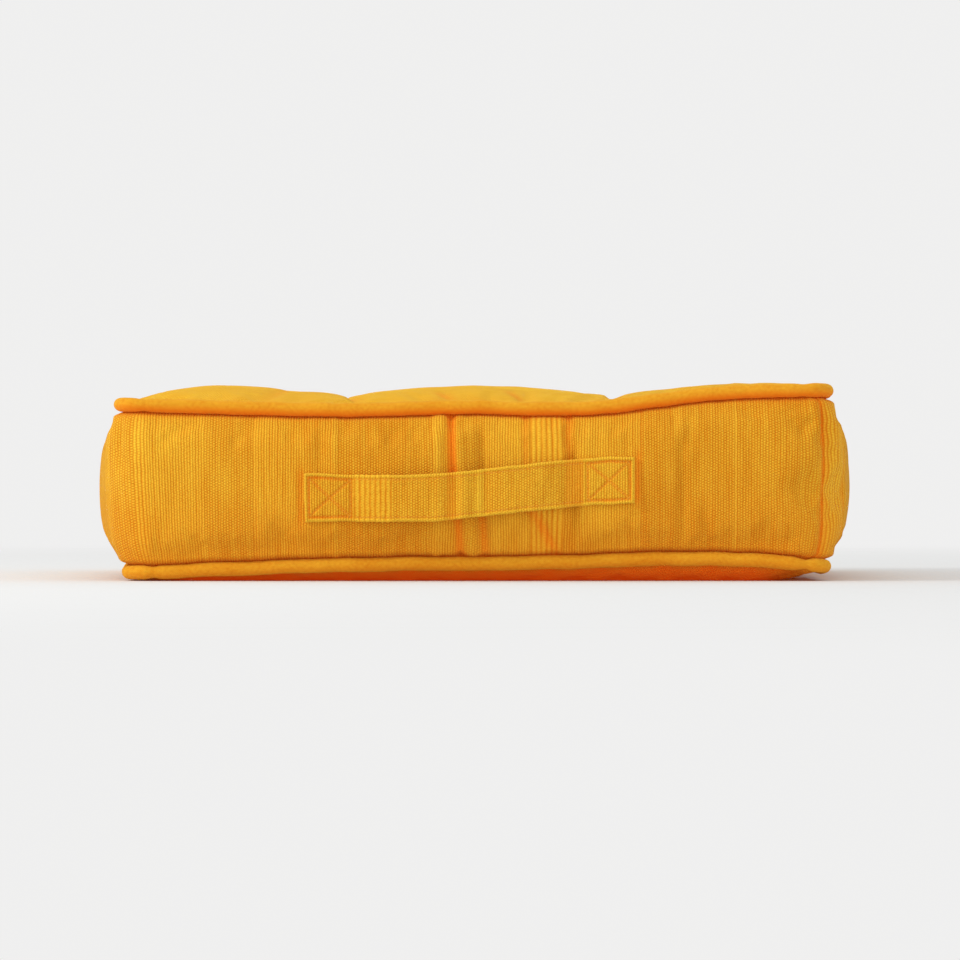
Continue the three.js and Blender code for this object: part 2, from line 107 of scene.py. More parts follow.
# ---- Sizes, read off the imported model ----


@dataclass(frozen=True)
class Sizes:
    """The cushion's measures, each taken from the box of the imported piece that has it.

    rim is how far the outer face of a panel's rim lies above or below the middle of its piping.
    """

    piping_half: float
    piping_radius: float
    upper_seam: float
    lower_seam: float
    crown: float
    front_face: float
    tuft: float
    tuft_top: float
    tuft_bottom: float
    corner_radius: float = 22 * MM
    cloth: float = 1.2 * MM
    seam_gap: float = 0.4 * MM
    rim: float = 3.0 * MM

    @property
    def panel_half(self) -> float:
        """Half side of the top and bottom panels at their sewn rim."""
        return self.piping_half - self.piping_radius - self.seam_gap

    @property
    def core(self) -> float:
        """Half side of the square on which the round corners are centred."""
        return self.piping_half - self.corner_radius

    @property
    def side(self) -> float:
        """Length of one side along the piping, from corner middle to corner middle."""
        return 2 * self.core + self.corner_radius * math.pi / 2


def read_sizes() -> Sizes:
    """Reads the cushion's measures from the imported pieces.

    Returns:
        The sizes that every sub-assembly is built from.
    """
    upper_low, upper_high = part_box("top_piping_cover")
    lower_low, lower_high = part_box("bottom_piping_cover")
    twine_low, twine_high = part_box("tuft_twine_back_right")
    sunk = 2.8 * MM
    radius = (upper_high.z - upper_low.z) / 2
    return Sizes(
        piping_half=upper_high.x - radius,
        piping_radius=radius,
        upper_seam=(upper_high.z + upper_low.z) / 2,
        lower_seam=(lower_high.z + lower_low.z) / 2,
        crown=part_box("top_panel")[1].z,
        front_face=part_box("boxing_front_left")[0].y,
        tuft=(twine_low.x + twine_high.x) / 2,
        tuft_top=twine_high.z - sunk,
        tuft_bottom=twine_low.z + sunk,
    )


# ---- Curves and noise, as whole arrays ----


def through(keys: list[tuple[float, float]], at: np.ndarray, period: float) -> np.ndarray:
    """A smooth closed curve through a few values: cubic pieces, each key's slope taken from its neighbours.

    Args:
        keys: (place, value) pairs in rising order of place, within one period.
        at: places where the curve is wanted.
        period: length after which it repeats.

    Returns:
        The curve's values, shaped as at.
    """
    place, value = np.array(keys, float).T
    place = np.concatenate([place[-2:] - period, place, place[:3] + period])
    value = np.concatenate([value[-2:], value, value[:3]])
    slope = np.gradient(value, place)
    wrapped = np.mod(at - place[2], period) + place[2]
    k = np.clip(np.searchsorted(place, wrapped, side="right") - 1, 0, len(place) - 2)
    step = place[k + 1] - place[k]
    s = (wrapped - place[k]) / step
    return (
        (2 * s**3 - 3 * s**2 + 1) * value[k]
        + (s**3 - 2 * s**2 + s) * step * slope[k]
        + (3 * s**2 - 2 * s**3) * value[k + 1]
        + (s**3 - s**2) * step * slope[k + 1]
    )


def ripple(seed: Seed, across: np.ndarray, along: np.ndarray, scale: float, waves: int = 14) -> np.ndarray:
    """Soft unevenness between about -1 and 1: a sum of sine waves in seeded directions.

    Args:
        seed: picks the waves.
        across: first coordinate, in metres.
        along: second coordinate, in metres.
        scale: shortest wavelength, in metres.
        waves: how many waves are summed.

    Returns:
        The unevenness, shaped as the coordinates.
    """
    draw = np.random.default_rng(int(seed))
    turn = draw.uniform(0, 2 * np.pi, waves)
    length = scale * draw.uniform(1.0, 3.0, waves)
    phase = draw.uniform(0, 2 * np.pi, waves)
    x = across[..., None] * np.cos(turn) + along[..., None] * np.sin(turn)
    return np.sin(2 * np.pi * x / length + phase).sum(-1) / math.sqrt(waves)


def fade(distance: np.ndarray, reach: float) -> np.ndarray:
    """Falls from 1 at no distance, by e for each reach."""
    return np.exp(-np.abs(distance) / reach)


def hill(distance: np.ndarray, width: float) -> np.ndarray:
    """A round bump, 1 in the middle, about width wide each way."""
    return np.exp(-((distance / width) ** 2))


def step_up(x: np.ndarray, start: float, end: float) -> np.ndarray:
    """Turns smoothly from 0 at start to 1 at end."""
    s = np.clip((x - start) / (end - start), 0, 1)
    return s * s * (3 - 2 * s)


def resampled(values: np.ndarray, places: np.ndarray, axis: int, closed: bool = False) -> np.ndarray:
    """Values read between the lines of a grid, by a cubic through the four nearest lines.

    Args:
        values: the grid, of any number of axes.
        places: fractional line numbers along axis.
        axis: the axis to read along.
        closed: whether the lines run round and meet.

    Returns:
        The grid with len(places) lines along axis.
    """
    count = values.shape[axis]
    moved = np.moveaxis(values, axis, 0)
    base = np.floor(places + 1e-9).astype(int)
    if not closed:
        base = np.minimum(base, count - 2)
    s = (places - base).reshape(-1, *([1] * (moved.ndim - 1)))

    def line(offset: int) -> np.ndarray:
        """The grid's lines that many past the base ones, carried straight on beyond an open end."""
        k = base + offset
        if closed:
            return moved[np.mod(k, count)]
        inside = np.clip(k, 0, count - 1)
        beyond = (k - inside).reshape(s.shape)
        end = moved[inside]
        inner = moved[np.clip(inside - np.sign(k - inside), 0, count - 1)]
        return end + (end - inner) * np.abs(beyond)

    a, b, c, d = line(-1), line(0), line(1), line(2)
    out = b + 0.5 * s * (c - a + s * (2 * a - 5 * b + 4 * c - d + s * (3 * (b - c) + d - a)))
    return np.moveaxis(out, 0, axis)


def grid_normals(points: np.ndarray) -> np.ndarray:
    """Unit normals of a grid of points, from the cross product of its two directions."""
    first, second = np.gradient(points, axis=0), np.gradient(points, axis=1)
    normal = np.cross(first, second)
    return normal / np.maximum(np.linalg.norm(normal, axis=-1, keepdims=True), 1e-12)


# ---- Meshes ----


@dataclass
class Patch:
    """A surface given as a grid of points, (lines one way) x (lines the other way) x 3.

    Its faces turn outward where the cross product of the two directions does, or the other way with flip.
    A closed direction runs round and meets itself. uv has one more line in each closed direction.
    """

    points: np.ndarray
    uv: np.ndarray | None = None
    closed_first: bool = False
    closed_second: bool = False
    flip: bool = False
    capped: bool = False
    values: dict[str, np.ndarray] = field(default_factory=dict)

    def faces(self) -> tuple[np.ndarray, np.ndarray]:
        """The four corners of each face, as vertex numbers and as places in the uv grid."""
        m, n = self.points.shape[:2]
        i, j = np.meshgrid(
            np.arange(m - 1 + self.closed_first),
            np.arange(n - 1 + self.closed_second),
            indexing="ij",
        )
        i, j = i.ravel(), j.ravel()
        corners = [(i, j), (i + 1, j), (i + 1, j + 1), (i, j + 1)]
        if self.flip:
            corners.reverse()
        vertex = np.stack([(a % m) * n + (b % n) for a, b in corners], axis=1)
        wide = n + self.closed_second
        spot = np.stack([a * wide + b for a, b in corners], axis=1)
        return vertex, spot

    def caps(self) -> list[list[int]]:
        """The two end faces of a tube that is closed in its second direction."""
        if not self.capped:
            return []
        m, n = self.points.shape[:2]
        first = list(range(n))
        last = [(m - 1) * n + k for k in range(n)]
        return [first[::-1], last] if self.flip else [first, last[::-1]]


def mesh_piece(name: str, patches: list[Patch], material: bpy.types.Material) -> bpy.types.Object:
    """Makes one mesh object from one or more patches.

    Args:
        name: the piece's name.
        patches: its surfaces; they are not joined to each other.
        material: its finish.

    Returns:
        The linked object, smooth shaded, with its UV map and point values.
    """
    start, vertices, polygons, loops = 0, [], [], []
    for patch in patches:
        vertex, spot = patch.faces()
        vertices.append(patch.points.reshape(-1, 3))
        polygons.extend((vertex + start).tolist())
        if patch.uv is not None:
            loops.append(patch.uv.reshape(-1, 2)[spot.ravel()])
        for cap in patch.caps():
            polygons.append([k + start for k in cap])
            if patch.uv is not None:
                loops.append(np.zeros((len(cap), 2)))
        start += len(vertices[-1])
    mesh = bpy.data.meshes.new(name)
    mesh.from_pydata(np.concatenate(vertices).tolist(), [], polygons)
    mesh.polygons.foreach_set("use_smooth", np.ones(len(mesh.polygons), bool))
    if loops:
        layer = mesh.uv_layers.new(name="cloth")
        layer.data.foreach_set("uv", np.concatenate(loops).astype(np.float32).ravel())
    for key in patches[0].values:
        value = np.concatenate([patch.values[key].ravel() for patch in patches])
        attribute = mesh.attributes.new(key, "FLOAT", "POINT")
        attribute.data.foreach_set("value", value.astype(np.float32))
    mesh.validate()
    mesh.update()
    piece = bpy.data.objects.new(name, mesh)
    bpy.context.scene.collection.objects.link(piece)
    mesh.materials.append(material)
    return piece


def thicken(piece: bpy.types.Object, cloth: float) -> None:
    """Gives a surface the thickness of its cloth, on the inner side."""
    wall = piece.modifiers.new("cloth", "SOLIDIFY")
    wall.thickness = cloth
    wall.offset = -1
    wall.use_even_offset = False
    wall.use_rim = True


def settle(piece: bpy.types.Object, body: str, node: str) -> bpy.types.Object:
    """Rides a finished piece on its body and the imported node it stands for."""
    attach(piece, body)
    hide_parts(node)
    log.info("%s: %d faces, on %s", piece.name, len(piece.data.polygons), body)
    return piece


# ---- Materials ----


class Graph:
    """Builds a material's nodes: each method adds one node and returns its output socket."""

    def __init__(self, name: str) -> None:
        """Makes the material with an empty node tree and its output."""
        self.material = bpy.data.materials.new(name)
        self.material.use_nodes = True
        self.tree = self.material.node_tree
        self.tree.nodes.clear()
        self.output = self.tree.nodes.new("ShaderNodeOutputMaterial")

    def put(self, socket: bpy.types.NodeSocket, value: object) -> None:
        """Links a socket to another, or sets its value."""
        if isinstance(value, bpy.types.NodeSocket):
            self.tree.links.new(value, socket)
        else:
            socket.default_value = value

    def math(self, operation: str, *values: object) -> bpy.types.NodeSocket:
        """A Math node."""
        node = self.tree.nodes.new("ShaderNodeMath")
        node.operation = operation
        for socket, value in zip(node.inputs, values):
            self.put(socket, value)
        return node.outputs[0]

    def plus(self, total: object, *others: object) -> bpy.types.NodeSocket:
        """Adds values up, one after another."""
        for other in others:
            total = self.math("ADD", total, other)
        return total

    def less(self, value: object, taken: object) -> bpy.types.NodeSocket:
        """Takes the second value from the first."""
        return self.math("SUBTRACT", value, taken)

    def times(self, value: object, factor: object) -> bpy.types.NodeSocket:
        """Multiplies two values."""
        return self.math("MULTIPLY", value, factor)

    def over(self, value: object, part: object) -> bpy.types.NodeSocket:
        """Divides the first value by the second."""
        return self.math("DIVIDE", value, part)

    def within(self, value: object) -> bpy.types.NodeSocket:
        """Keeps a value between 0 and 1."""
        return self.math("MINIMUM", self.math("MAXIMUM", value, 0.0), 1.0)

    def mix(self, share: object, first: object, second: object) -> bpy.types.NodeSocket:
        """Mixes two colours."""
        node = self.tree.nodes.new("ShaderNodeMix")
        node.data_type = "RGBA"
        for index, value in ((0, share), (6, first), (7, second)):
            self.put(node.inputs[index], value)
        return node.outputs[2]

    def lerp(self, share: object, first: object, second: object) -> bpy.types.NodeSocket:
        """Mixes two numbers."""
        node = self.tree.nodes.new("ShaderNodeMix")
        for index, value in ((0, share), (2, first), (3, second)):
            self.put(node.inputs[index], value)
        return node.outputs[0]

    def uv(self) -> tuple[bpy.types.NodeSocket, bpy.types.NodeSocket, bpy.types.NodeSocket]:
        """The piece's own cloth coordinates in metres: the vector, across and along."""
        node = self.tree.nodes.new("ShaderNodeUVMap")
        node.uv_map = "cloth"
        parts = self.tree.nodes.new("ShaderNodeSeparateXYZ")
        self.tree.links.new(node.outputs[0], parts.inputs[0])
        return node.outputs[0], parts.outputs[0], parts.outputs[1]

    def place(self) -> bpy.types.NodeSocket:
        """Object coordinates."""
        return self.tree.nodes.new("ShaderNodeTexCoord").outputs["Object"]

    def value(self, name: str) -> bpy.types.NodeSocket:
        """A value stored on the piece's points."""
        node = self.tree.nodes.new("ShaderNodeAttribute")
        node.attribute_name = name
        return node.outputs["Fac"]

    def noise(self, vector: bpy.types.NodeSocket, scale: float, detail: float = 2.0) -> bpy.types.NodeSocket:
        """A noise texture's grey value; scale is in waves per metre."""
        node = self.tree.nodes.new("ShaderNodeTexNoise")
        self.put(node.inputs["Vector"], vector)
        node.inputs["Scale"].default_value = scale
        node.inputs["Detail"].default_value = detail
        return node.outputs[0]

    def arch(self, x: object) -> bpy.types.NodeSocket:
        """A row of round ridges, one for each whole number: the size of sin(pi x)."""
        return self.math("ABSOLUTE", self.math("SINE", self.times(x, math.pi)))

    def stretched(self, vector: bpy.types.NodeSocket, across: float, along: float) -> bpy.types.NodeSocket:
        """Cloth coordinates stretched by a factor each way, to draw a noise out lengthwise."""
        node = self.tree.nodes.new("ShaderNodeVectorMath")
        node.operation = "MULTIPLY"
        node.inputs[1].default_value = (across, along, 1.0)
        self.tree.links.new(vector, node.inputs[0])
        return node.outputs[0]

    def finish(self, colour: object, height: object, depth: float, roughness: float, sheen: float,
               tint: tuple[float, float, float, float], strength: float = 1.0,
               painted_glow: object = None) -> bpy.types.Material:
        """Ends the tree in a cloth-like surface.

        Args:
            colour: base colour.
            height: 0 to 1 relief, or None.
            depth: what a relief of 1 stands for, in metres.
            roughness: surface roughness.
            sheen: weight of the fuzz that catches light at the edges.
            tint: colour of that fuzz.
            strength: how strongly the relief bends the light.
            painted_glow: painted light given off as emission, to keep painted shade warm orange, or None.

        Returns:
            The material.
        """
        shader = self.tree.nodes.new("ShaderNodeBsdfPrincipled")
        self.put(shader.inputs["Base Color"], colour)
        shader.inputs["Roughness"].default_value = roughness
        shader.inputs["Specular IOR Level"].default_value = 0.12
        shader.inputs["Sheen Weight"].default_value = sheen
        shader.inputs["Sheen Roughness"].default_value = 0.4
        shader.inputs["Sheen Tint"].default_value = tint
        if painted_glow is not None:
            self.put(shader.inputs["Emission Color"], painted_glow)
            shader.inputs["Emission Strength"].default_value = 1.0
        if height is not None:
            bump = self.tree.nodes.new("ShaderNodeBump")
            bump.inputs["Strength"].default_value = strength
            bump.inputs["Distance"].default_value = depth
            self.put(bump.inputs["Height"], height)
            self.put(shader.inputs["Normal"], bump.outputs[0])
        self.tree.links.new(shader.outputs[0], self.output.inputs[0])
        return self.material


@dataclass(frozen=True)
class Band:
    """A lengthwise band of the woven cotton, which starts at a place across the cloth and runs to the next.

    tint is from 0, a dark line, through 0.5, plain, to 1, a light stripe.
    """

    start: float
    weave: Weave
    tint: float = 0.5


# The light and deep colours of the cotton's yarn. The weave's height also mixes between them, so they are
# partly a painted highlight on its ridges and painted shade in its hollows.
LIGHT_YARN_AND_HIGHLIGHT = (0.97, 0.61, 0.04, 1.0)
DEEP_YARN_AND_SHADE = (0.64, 0.20, 0.002, 1.0)
# Colour of painted shade, mixed in by each piece's crease value: in creases and seams, under the piping and
# underneath.
PAINTED_SHADE = (0.86, 0.145, 0.002, 1.0)
# Painted light: a faint orange glow that the whole cloth gives off as emission, though it is no lamp.
PAINTED_BODY_GLOW = (0.02, 0.005, 0.0, 1.0)
# Painted light: a stronger red-orange glow given off as emission where the painted shade is deepest.
PAINTED_SHADE_GLOW = (0.22, 0.022, 0.001, 1.0)
EDGE_GLOW = (1.0, 0.80, 0.10, 1.0)


@dataclass(frozen=True)
class RibbedCotton:
    """Handwoven cotton in lengthwise bands of ribs, coarse ribs, basket weave, and light and dark stripes.

    rib, pick and coarse_rib are the pitches of the weave, wander is how far the ribs stray sideways, and the
    grains are the waves per metre of the cloth's patches, thick yarns, single yarns and slow clouds.
    """

    name: str
    bands: tuple[Band, ...]
    repeat: float
    start: float
    rib: float = 2.23 * MM
    pick: float = 2.25 * MM
    coarse_rib: float = 4.36 * MM
    relief: float = 0.9 * MM
    wander: float = 0.9 * MM
    drift_grain: float = 130.0
    patch_grain: float = 45.0
    slub_grain: float = 330.0
    yarn_grain: float = 420.0
    cloud_grain: float = 11.0

    def bands_of(self, graph: Graph, across: bpy.types.NodeSocket) -> list[bpy.types.NodeSocket]:
        """Basket share, coarse share and tint at a place across the cloth, off one colour ramp."""
        turn = graph.math("FRACT", graph.over(graph.less(across, self.start), self.repeat))
        node = graph.tree.nodes.new("ShaderNodeValToRGB")
        ramp = node.color_ramp
        ramp.interpolation = "CONSTANT"
        for index, band in enumerate(self.bands):
            at = (band.start - self.start) / self.repeat
            stop = ramp.elements[index] if index < 2 else ramp.elements.new(at)
            stop.position = at
            stop.color = (*band.weave.value, band.tint, 1.0)
        graph.put(node.inputs[0], turn)
        parts = graph.tree.nodes.new("ShaderNodeSeparateColor")
        graph.tree.links.new(node.outputs[0], parts.inputs[0])
        return list(parts.outputs)

    def weave(self, graph: Graph) -> tuple[bpy.types.NodeSocket, bpy.types.NodeSocket]:
        """Works out the weave: ridges |sin| across for the ribs, broken by |sin| along for the picks.

        Returns:
            The weave's height and the bands' tint.
        """
        vector, across, along = graph.uv()
        drift = graph.less(graph.noise(vector, self.drift_grain, 1.0), 0.5)
        bent = graph.plus(across, graph.times(drift, self.wander))
        basket, coarse, tint = self.bands_of(graph, bent)
        turns = graph.over(bent, self.rib)
        rib = graph.arch(turns)
        odd = graph.times(graph.math("FLOOR", turns), 0.5)
        pick = graph.arch(graph.plus(graph.over(along, self.pick), odd))
        half_pick = graph.lerp(0.5, 1.0, pick)
        fine = graph.times(rib, half_pick)
        knotted = graph.times(rib, graph.lerp(0.92, 1.0, pick))
        wide = graph.times(graph.arch(graph.over(bent, self.coarse_rib)), half_pick)
        patchy = graph.times(graph.less(graph.noise(vector, self.patch_grain), 0.5), 1.6)
        basket = graph.within(graph.plus(basket, patchy))
        return graph.lerp(coarse, graph.lerp(basket, fine, knotted), wide), tint

    def material(self) -> bpy.types.Material:
        """Colours the weave between its deep and its light yarn, by its uneven yarns and its bands, and by
        its height as painted shade in its hollows and a painted highlight on its ridges; painted light, shade
        and glow go on top.

        Returns:
            The material.
        """
        graph = Graph(self.name)
        height, tint = self.weave(graph)
        vector, _, _ = graph.uv()
        drawn = graph.stretched(vector, 1.0, 0.06)
        slub = graph.less(graph.noise(drawn, self.slub_grain), 0.5)
        yarn = graph.noise(vector, self.yarn_grain)
        cloudy = graph.less(graph.noise(graph.place(), self.cloud_grain, 3.0), 0.5)
        # The height's share is painted shade in the weave's hollows and a painted highlight on its ridges;
        # yarn, slub, clouds and bands are the cloth's own tone.
        shade = graph.plus(graph.times(height, 0.72), graph.times(yarn, 0.42), graph.times(slub, 0.6),
                           graph.times(cloudy, 0.5), graph.less(graph.times(tint, 0.6), 0.48))
        colour = graph.mix(graph.within(shade), DEEP_YARN_AND_SHADE, LIGHT_YARN_AND_HIGHLIGHT)
        # Painted light: mixes in the light colour by the piece's painted-light value, over the top panel and
        # along the strap's edges.
        colour = graph.mix(graph.times(graph.value("painted_light"), 0.8), colour, LIGHT_YARN_AND_HIGHLIGHT)
        # Painted shade: the crease value mixes in the painted-shade colour.
        crease = graph.value("crease")
        colour = graph.mix(graph.times(crease, 0.85), colour, PAINTED_SHADE)
        relief = graph.plus(height, graph.times(yarn, 0.35), graph.times(slub, 0.7))
        # Painted glow: faint over the whole cloth, strong where the painted shade is deepest.
        painted_glow = graph.mix(graph.math("POWER", crease, 3.0), PAINTED_BODY_GLOW, PAINTED_SHADE_GLOW)
        return graph.finish(colour, relief, self.relief, 0.86, 0.35, EDGE_GLOW, 0.8, painted_glow)


@dataclass(frozen=True)
class BiasCotton:
    """Plain cotton cut on the bias for the piping: a fine weave that runs askew round the cord."""

    name: str
    yarn: float = 1.1 * MM
    relief: float = 0.6 * MM
    felt_grain: float = 340.0
    cloud_grain: float = 26.0

    def material(self) -> bpy.types.Material:
        """Works out the weave from two sets of |sin| ridges that cross at a slant.

        Returns:
            The material.
        """
        graph = Graph(self.name)
        vector, along, around = graph.uv()
        slant = self.yarn * 1.4
        first = graph.arch(graph.over(graph.plus(along, around), slant))
        second = graph.arch(graph.over(graph.less(along, around), slant))
        weave = graph.times(first, second)
        felt = graph.noise(vector, self.felt_grain, 3.0)
        cloudy = graph.less(graph.noise(graph.place(), self.cloud_grain, 3.0), 0.6)
        # The weave's share is a painted highlight where the bias ridges cross and painted shade between them;
        # felt and clouds are the cloth's own tone.
        shade = graph.plus(graph.times(weave, 0.25), graph.times(felt, 0.7), graph.times(cloudy, 0.5))
        # Painted shade: the crease value mixes in the painted-shade colour on the piping.
        crease = graph.value("crease")
        colour = graph.mix(graph.times(crease, 0.8), graph.mix(shade, DEEP_YARN_AND_SHADE, LIGHT_YARN_AND_HIGHLIGHT), PAINTED_SHADE)
        relief = graph.plus(graph.times(weave, 0.5), felt)
        # Painted glow on the piping, stronger where it takes painted shade.
        painted_glow = graph.mix(graph.times(crease, 0.25), PAINTED_BODY_GLOW, PAINTED_SHADE_GLOW)
        return graph.finish(colour, relief, self.relief, 0.9, 0.4, EDGE_GLOW, 0.8, painted_glow)


@dataclass(frozen=True)
class PlainYarn:
    """Anything spun or felted in one colour, with fine fibres: thread, twine, cord, calico or wadding."""

    name: str
    dark: tuple[float, float, float, float]
    light: tuple[float, float, float, float]
    grain: float
    relief: float
    roughness: float = 0.8
    sheen: float = 0.3

    def material(self) -> bpy.types.Material:
        """Mottles two colours by a noise in the piece's own space.

        Returns:
            The material.
        """
        graph = Graph(self.name)
        place = graph.place()
        fine = graph.noise(place, self.grain, 3.0)
        broad = graph.noise(place, self.grain / 12, 2.0)
        shade = graph.plus(graph.times(fine, 0.7), graph.times(broad, 0.4))
        colour = graph.mix(shade, self.dark, self.light)
        return graph.finish(colour, fine, self.relief, self.roughness, self.sheen, self.light)


BOXING_BANDS = (
    Band(-0.300, Weave.BASKET),
    Band(-0.281, Weave.FINE_RIB, 0.52),
    Band(-0.227, Weave.BASKET),
    Band(-0.1862, Weave.FINE_RIB, 0.60),
    Band(-0.1835, Weave.FINE_RIB, 0.50),
    Band(-0.1255, Weave.FINE_RIB, 0.46),
    Band(-0.121, Weave.FINE_RIB, 0.64),
    Band(-0.115, Weave.BASKET, 0.48),
    Band(-0.037, Weave.BASKET, 0.35),
    Band(-0.0354, Weave.FINE_RIB, 0.66),
    Band(-0.0286, Weave.FINE_RIB, 0.45),
    Band(-0.0227, Weave.FINE_RIB, 0.40),
    Band(-0.016, Weave.BASKET, 0.56),
    Band(0.009, Weave.FINE_RIB, 0.54),
    Band(0.043, Weave.FINE_RIB, 0.36),
    Band(0.045, Weave.COARSE_RIB, 0.56),
    Band(0.0735, Weave.FINE_RIB, 0.36),
    Band(0.086, Weave.FINE_RIB, 0.56),
    Band(0.140, Weave.BASKET, 0.50),
    Band(0.2165, Weave.FINE_RIB, 0.66),
    Band(0.2195, Weave.BASKET, 0.48),
    Band(0.289, Weave.FINE_RIB, 0.52),
)

STRAP_BANDS = (
    Band(-0.143, Weave.FINE_RIB, 0.50),
    Band(-0.1025, Weave.COARSE_RIB, 0.60),
    Band(-0.0695, Weave.BASKET, 0.56),
    Band(-0.0225, Weave.FINE_RIB, 0.30),
    Band(-0.0155, Weave.BASKET, 0.60),
    Band(0.001, Weave.FINE_RIB, 0.80),
    Band(0.007, Weave.FINE_RIB, 0.30),
    Band(0.0115, Weave.BASKET, 0.50),
    Band(0.0765, Weave.FINE_RIB, 0.42),
    Band(0.0915, Weave.FINE_RIB, 0.58),
)


class Wardrobe:
    """All the finishes, made once."""

    def __init__(self) -> None:
        """Makes each material."""
        self.cover = RibbedCotton("ribbed cotton", BOXING_BANDS, 0.600, -0.300).material()
        self.webbing = RibbedCotton("ribbed cotton webbing", STRAP_BANDS, 0.278, -0.143).material()
        self.piping = BiasCotton("bias cotton").material()
        self.thread = PlainYarn(
            "sewing thread", (0.60, 0.20, 0.006, 1), (0.92, 0.50, 0.06, 1), 1800, 0.1 * MM, 0.6, 0.2
        ).material()
        self.calico = PlainYarn(
            "calico", (0.62, 0.57, 0.48, 1), (0.84, 0.81, 0.74, 1), 900, 0.2 * MM
        ).material()
        self.fibre = PlainYarn(
            "fibre wadding", (0.80, 0.79, 0.76, 1), (0.95, 0.94, 0.92, 1), 160, 2 * MM, 0.95, 0.5
        ).material()
        self.cord = PlainYarn(
            "cotton cord", (0.60, 0.53, 0.42, 1), (0.86, 0.81, 0.70, 1), 1500, 0.2 * MM
        ).material()


# ---- The outline and the two seams ----


@dataclass(frozen=True)
class Outline:
    """The square with round corners that the piping follows.

    Places on it are lengths from the front's middle, to the right and on round the cushion.
    """

    sizes: Sizes

    @property
    def around(self) -> float:
        """Length of the whole outline."""
        return 4 * self.sizes.side

    def at(self, place: np.ndarray, offset: np.ndarray | float = 0.0) -> tuple[np.ndarray, np.ndarray]:
        """Points beside the outline: along a side, or turned about a corner's centre past it.

        Args:
            place: lengths along the outline.
            offset: how far outside it each point lies.

        Returns:
            The points and their outward directions, each with x and y last.
        """
        core, radius, side = self.sizes.core, self.sizes.corner_radius, self.sizes.side
        quarter = np.round(place / side)
        local = place - quarter * side
        turn = np.sign(local) * np.maximum(np.abs(local) - core, 0) / radius
        out = np.stack([np.sin(turn), -np.cos(turn)], axis=-1)
        centre = np.stack([np.clip(local, -core, core), np.full_like(local, -core)], axis=-1)
        point = centre + out * (radius + np.asarray(offset))[..., None]
        cosine, sine = np.cos(quarter * np.pi / 2), np.sin(quarter * np.pi / 2)

        def turned(v: np.ndarray) -> np.ndarray:
            """Turns plan vectors by each place's quarter turns."""
            x, y = v[..., 0], v[..., 1]
            return np.stack([x * cosine - y * sine, x * sine + y * cosine], axis=-1)

        return turned(point), turned(out)


# Height of each seam over its level line, as (sides from the front left corner, millimetres): the top edge
# dips along the front and lifts at the front right corner, and the bottom edge sags at the front left one.
SEAM_RISE = {
    Edge.UPPER: [
        (0.0, 0.6), (0.1, -1.2), (0.33, -3.6), (0.48, -1.6), (0.61, -2.9), (0.70, -1.0), (0.77, 4.2),
        (0.84, 9.4), (0.92, 12.2), (0.99, 12.6), (1.12, 10.0), (1.3, 3.0), (1.55, -1.5), (1.8, 1.0),
        (2.0, 4.0), (2.2, 0.5), (2.5, -2.5), (2.8, 0.0), (3.0, 3.0), (3.25, -1.0), (3.5, -2.5), (3.8, -1.0),
    ],
    Edge.LOWER: [
        (0.0, -7.2), (0.12, -4.6), (0.25, -1.8), (0.4, 0.2), (0.5, 0.4), (0.64, 2.0), (0.80, 4.7),
        (0.85, 4.6), (0.95, 1.4), (1.0, -1.2), (1.15, -3.0), (1.5, 0.0), (1.85, -2.0), (2.0, -5.0),
        (2.3, -0.5), (2.7, 0.0), (3.0, -6.0), (3.3, -1.0), (3.7, -1.5), (3.88, -5.0),
    ],
}


# How far the corners stand out at the upper and the lower seam, in millimetres, by the signs of x and y.
EARS = {(-1, -1): (6.5, -2.0), (1, -1): (5.2, 3.5), (1, 1): (7.0, 4.0), (-1, 1): (6.0, 3.0)}
EAR_REACH = 48 * MM


def draw_ears(points: np.ndarray, sizes: Sizes) -> np.ndarray:
    """Draws the corners out into ears: a hill round each corner, in a straight line from seam to seam.

    Args:
        points: places on or in the cushion, x, y and z last.
        sizes: the cushion's sizes.

    Returns:
        The moved places.
    """
    x, y, z = points[..., 0], points[..., 1], points[..., 2]
    share = np.clip(z / sizes.upper_seam, 0, 1)
    near = hill(np.hypot(np.abs(x) - sizes.panel_half, np.abs(y) - sizes.panel_half), EAR_REACH)
    out = np.zeros(x.shape)
    for (side_x, side_y), (upper, lower) in EARS.items():
        here = (x * side_x > 0) & (y * side_y > 0)
        out = np.where(here, (lower + (upper - lower) * share) * MM, out)
    moved = points.copy()
    moved[..., 0] += np.sign(x) * out * near
    moved[..., 1] += np.sign(y) * out * near
    return moved


@dataclass(frozen=True)
class Seams:
    """The heights of the two piped seams all round the cushion."""

    sizes: Sizes

    def height(self, edge: Edge, place: np.ndarray) -> np.ndarray:
        """Height of the piping's middle at places on the outline."""
        sides = place / self.sizes.side + 0.5
        level = self.sizes.upper_seam if edge is Edge.UPPER else self.sizes.lower_seam
        seed = Seed.UPPER_SEAM if edge is Edge.UPPER else Seed.LOWER_SEAM
        wave = ripple(seed, np.cos(sides * np.pi / 2), np.sin(sides * np.pi / 2), 0.06)
        return level + (through(SEAM_RISE[edge], sides, 4.0) + 0.22 * wave) * MM


# ---- The cover ----


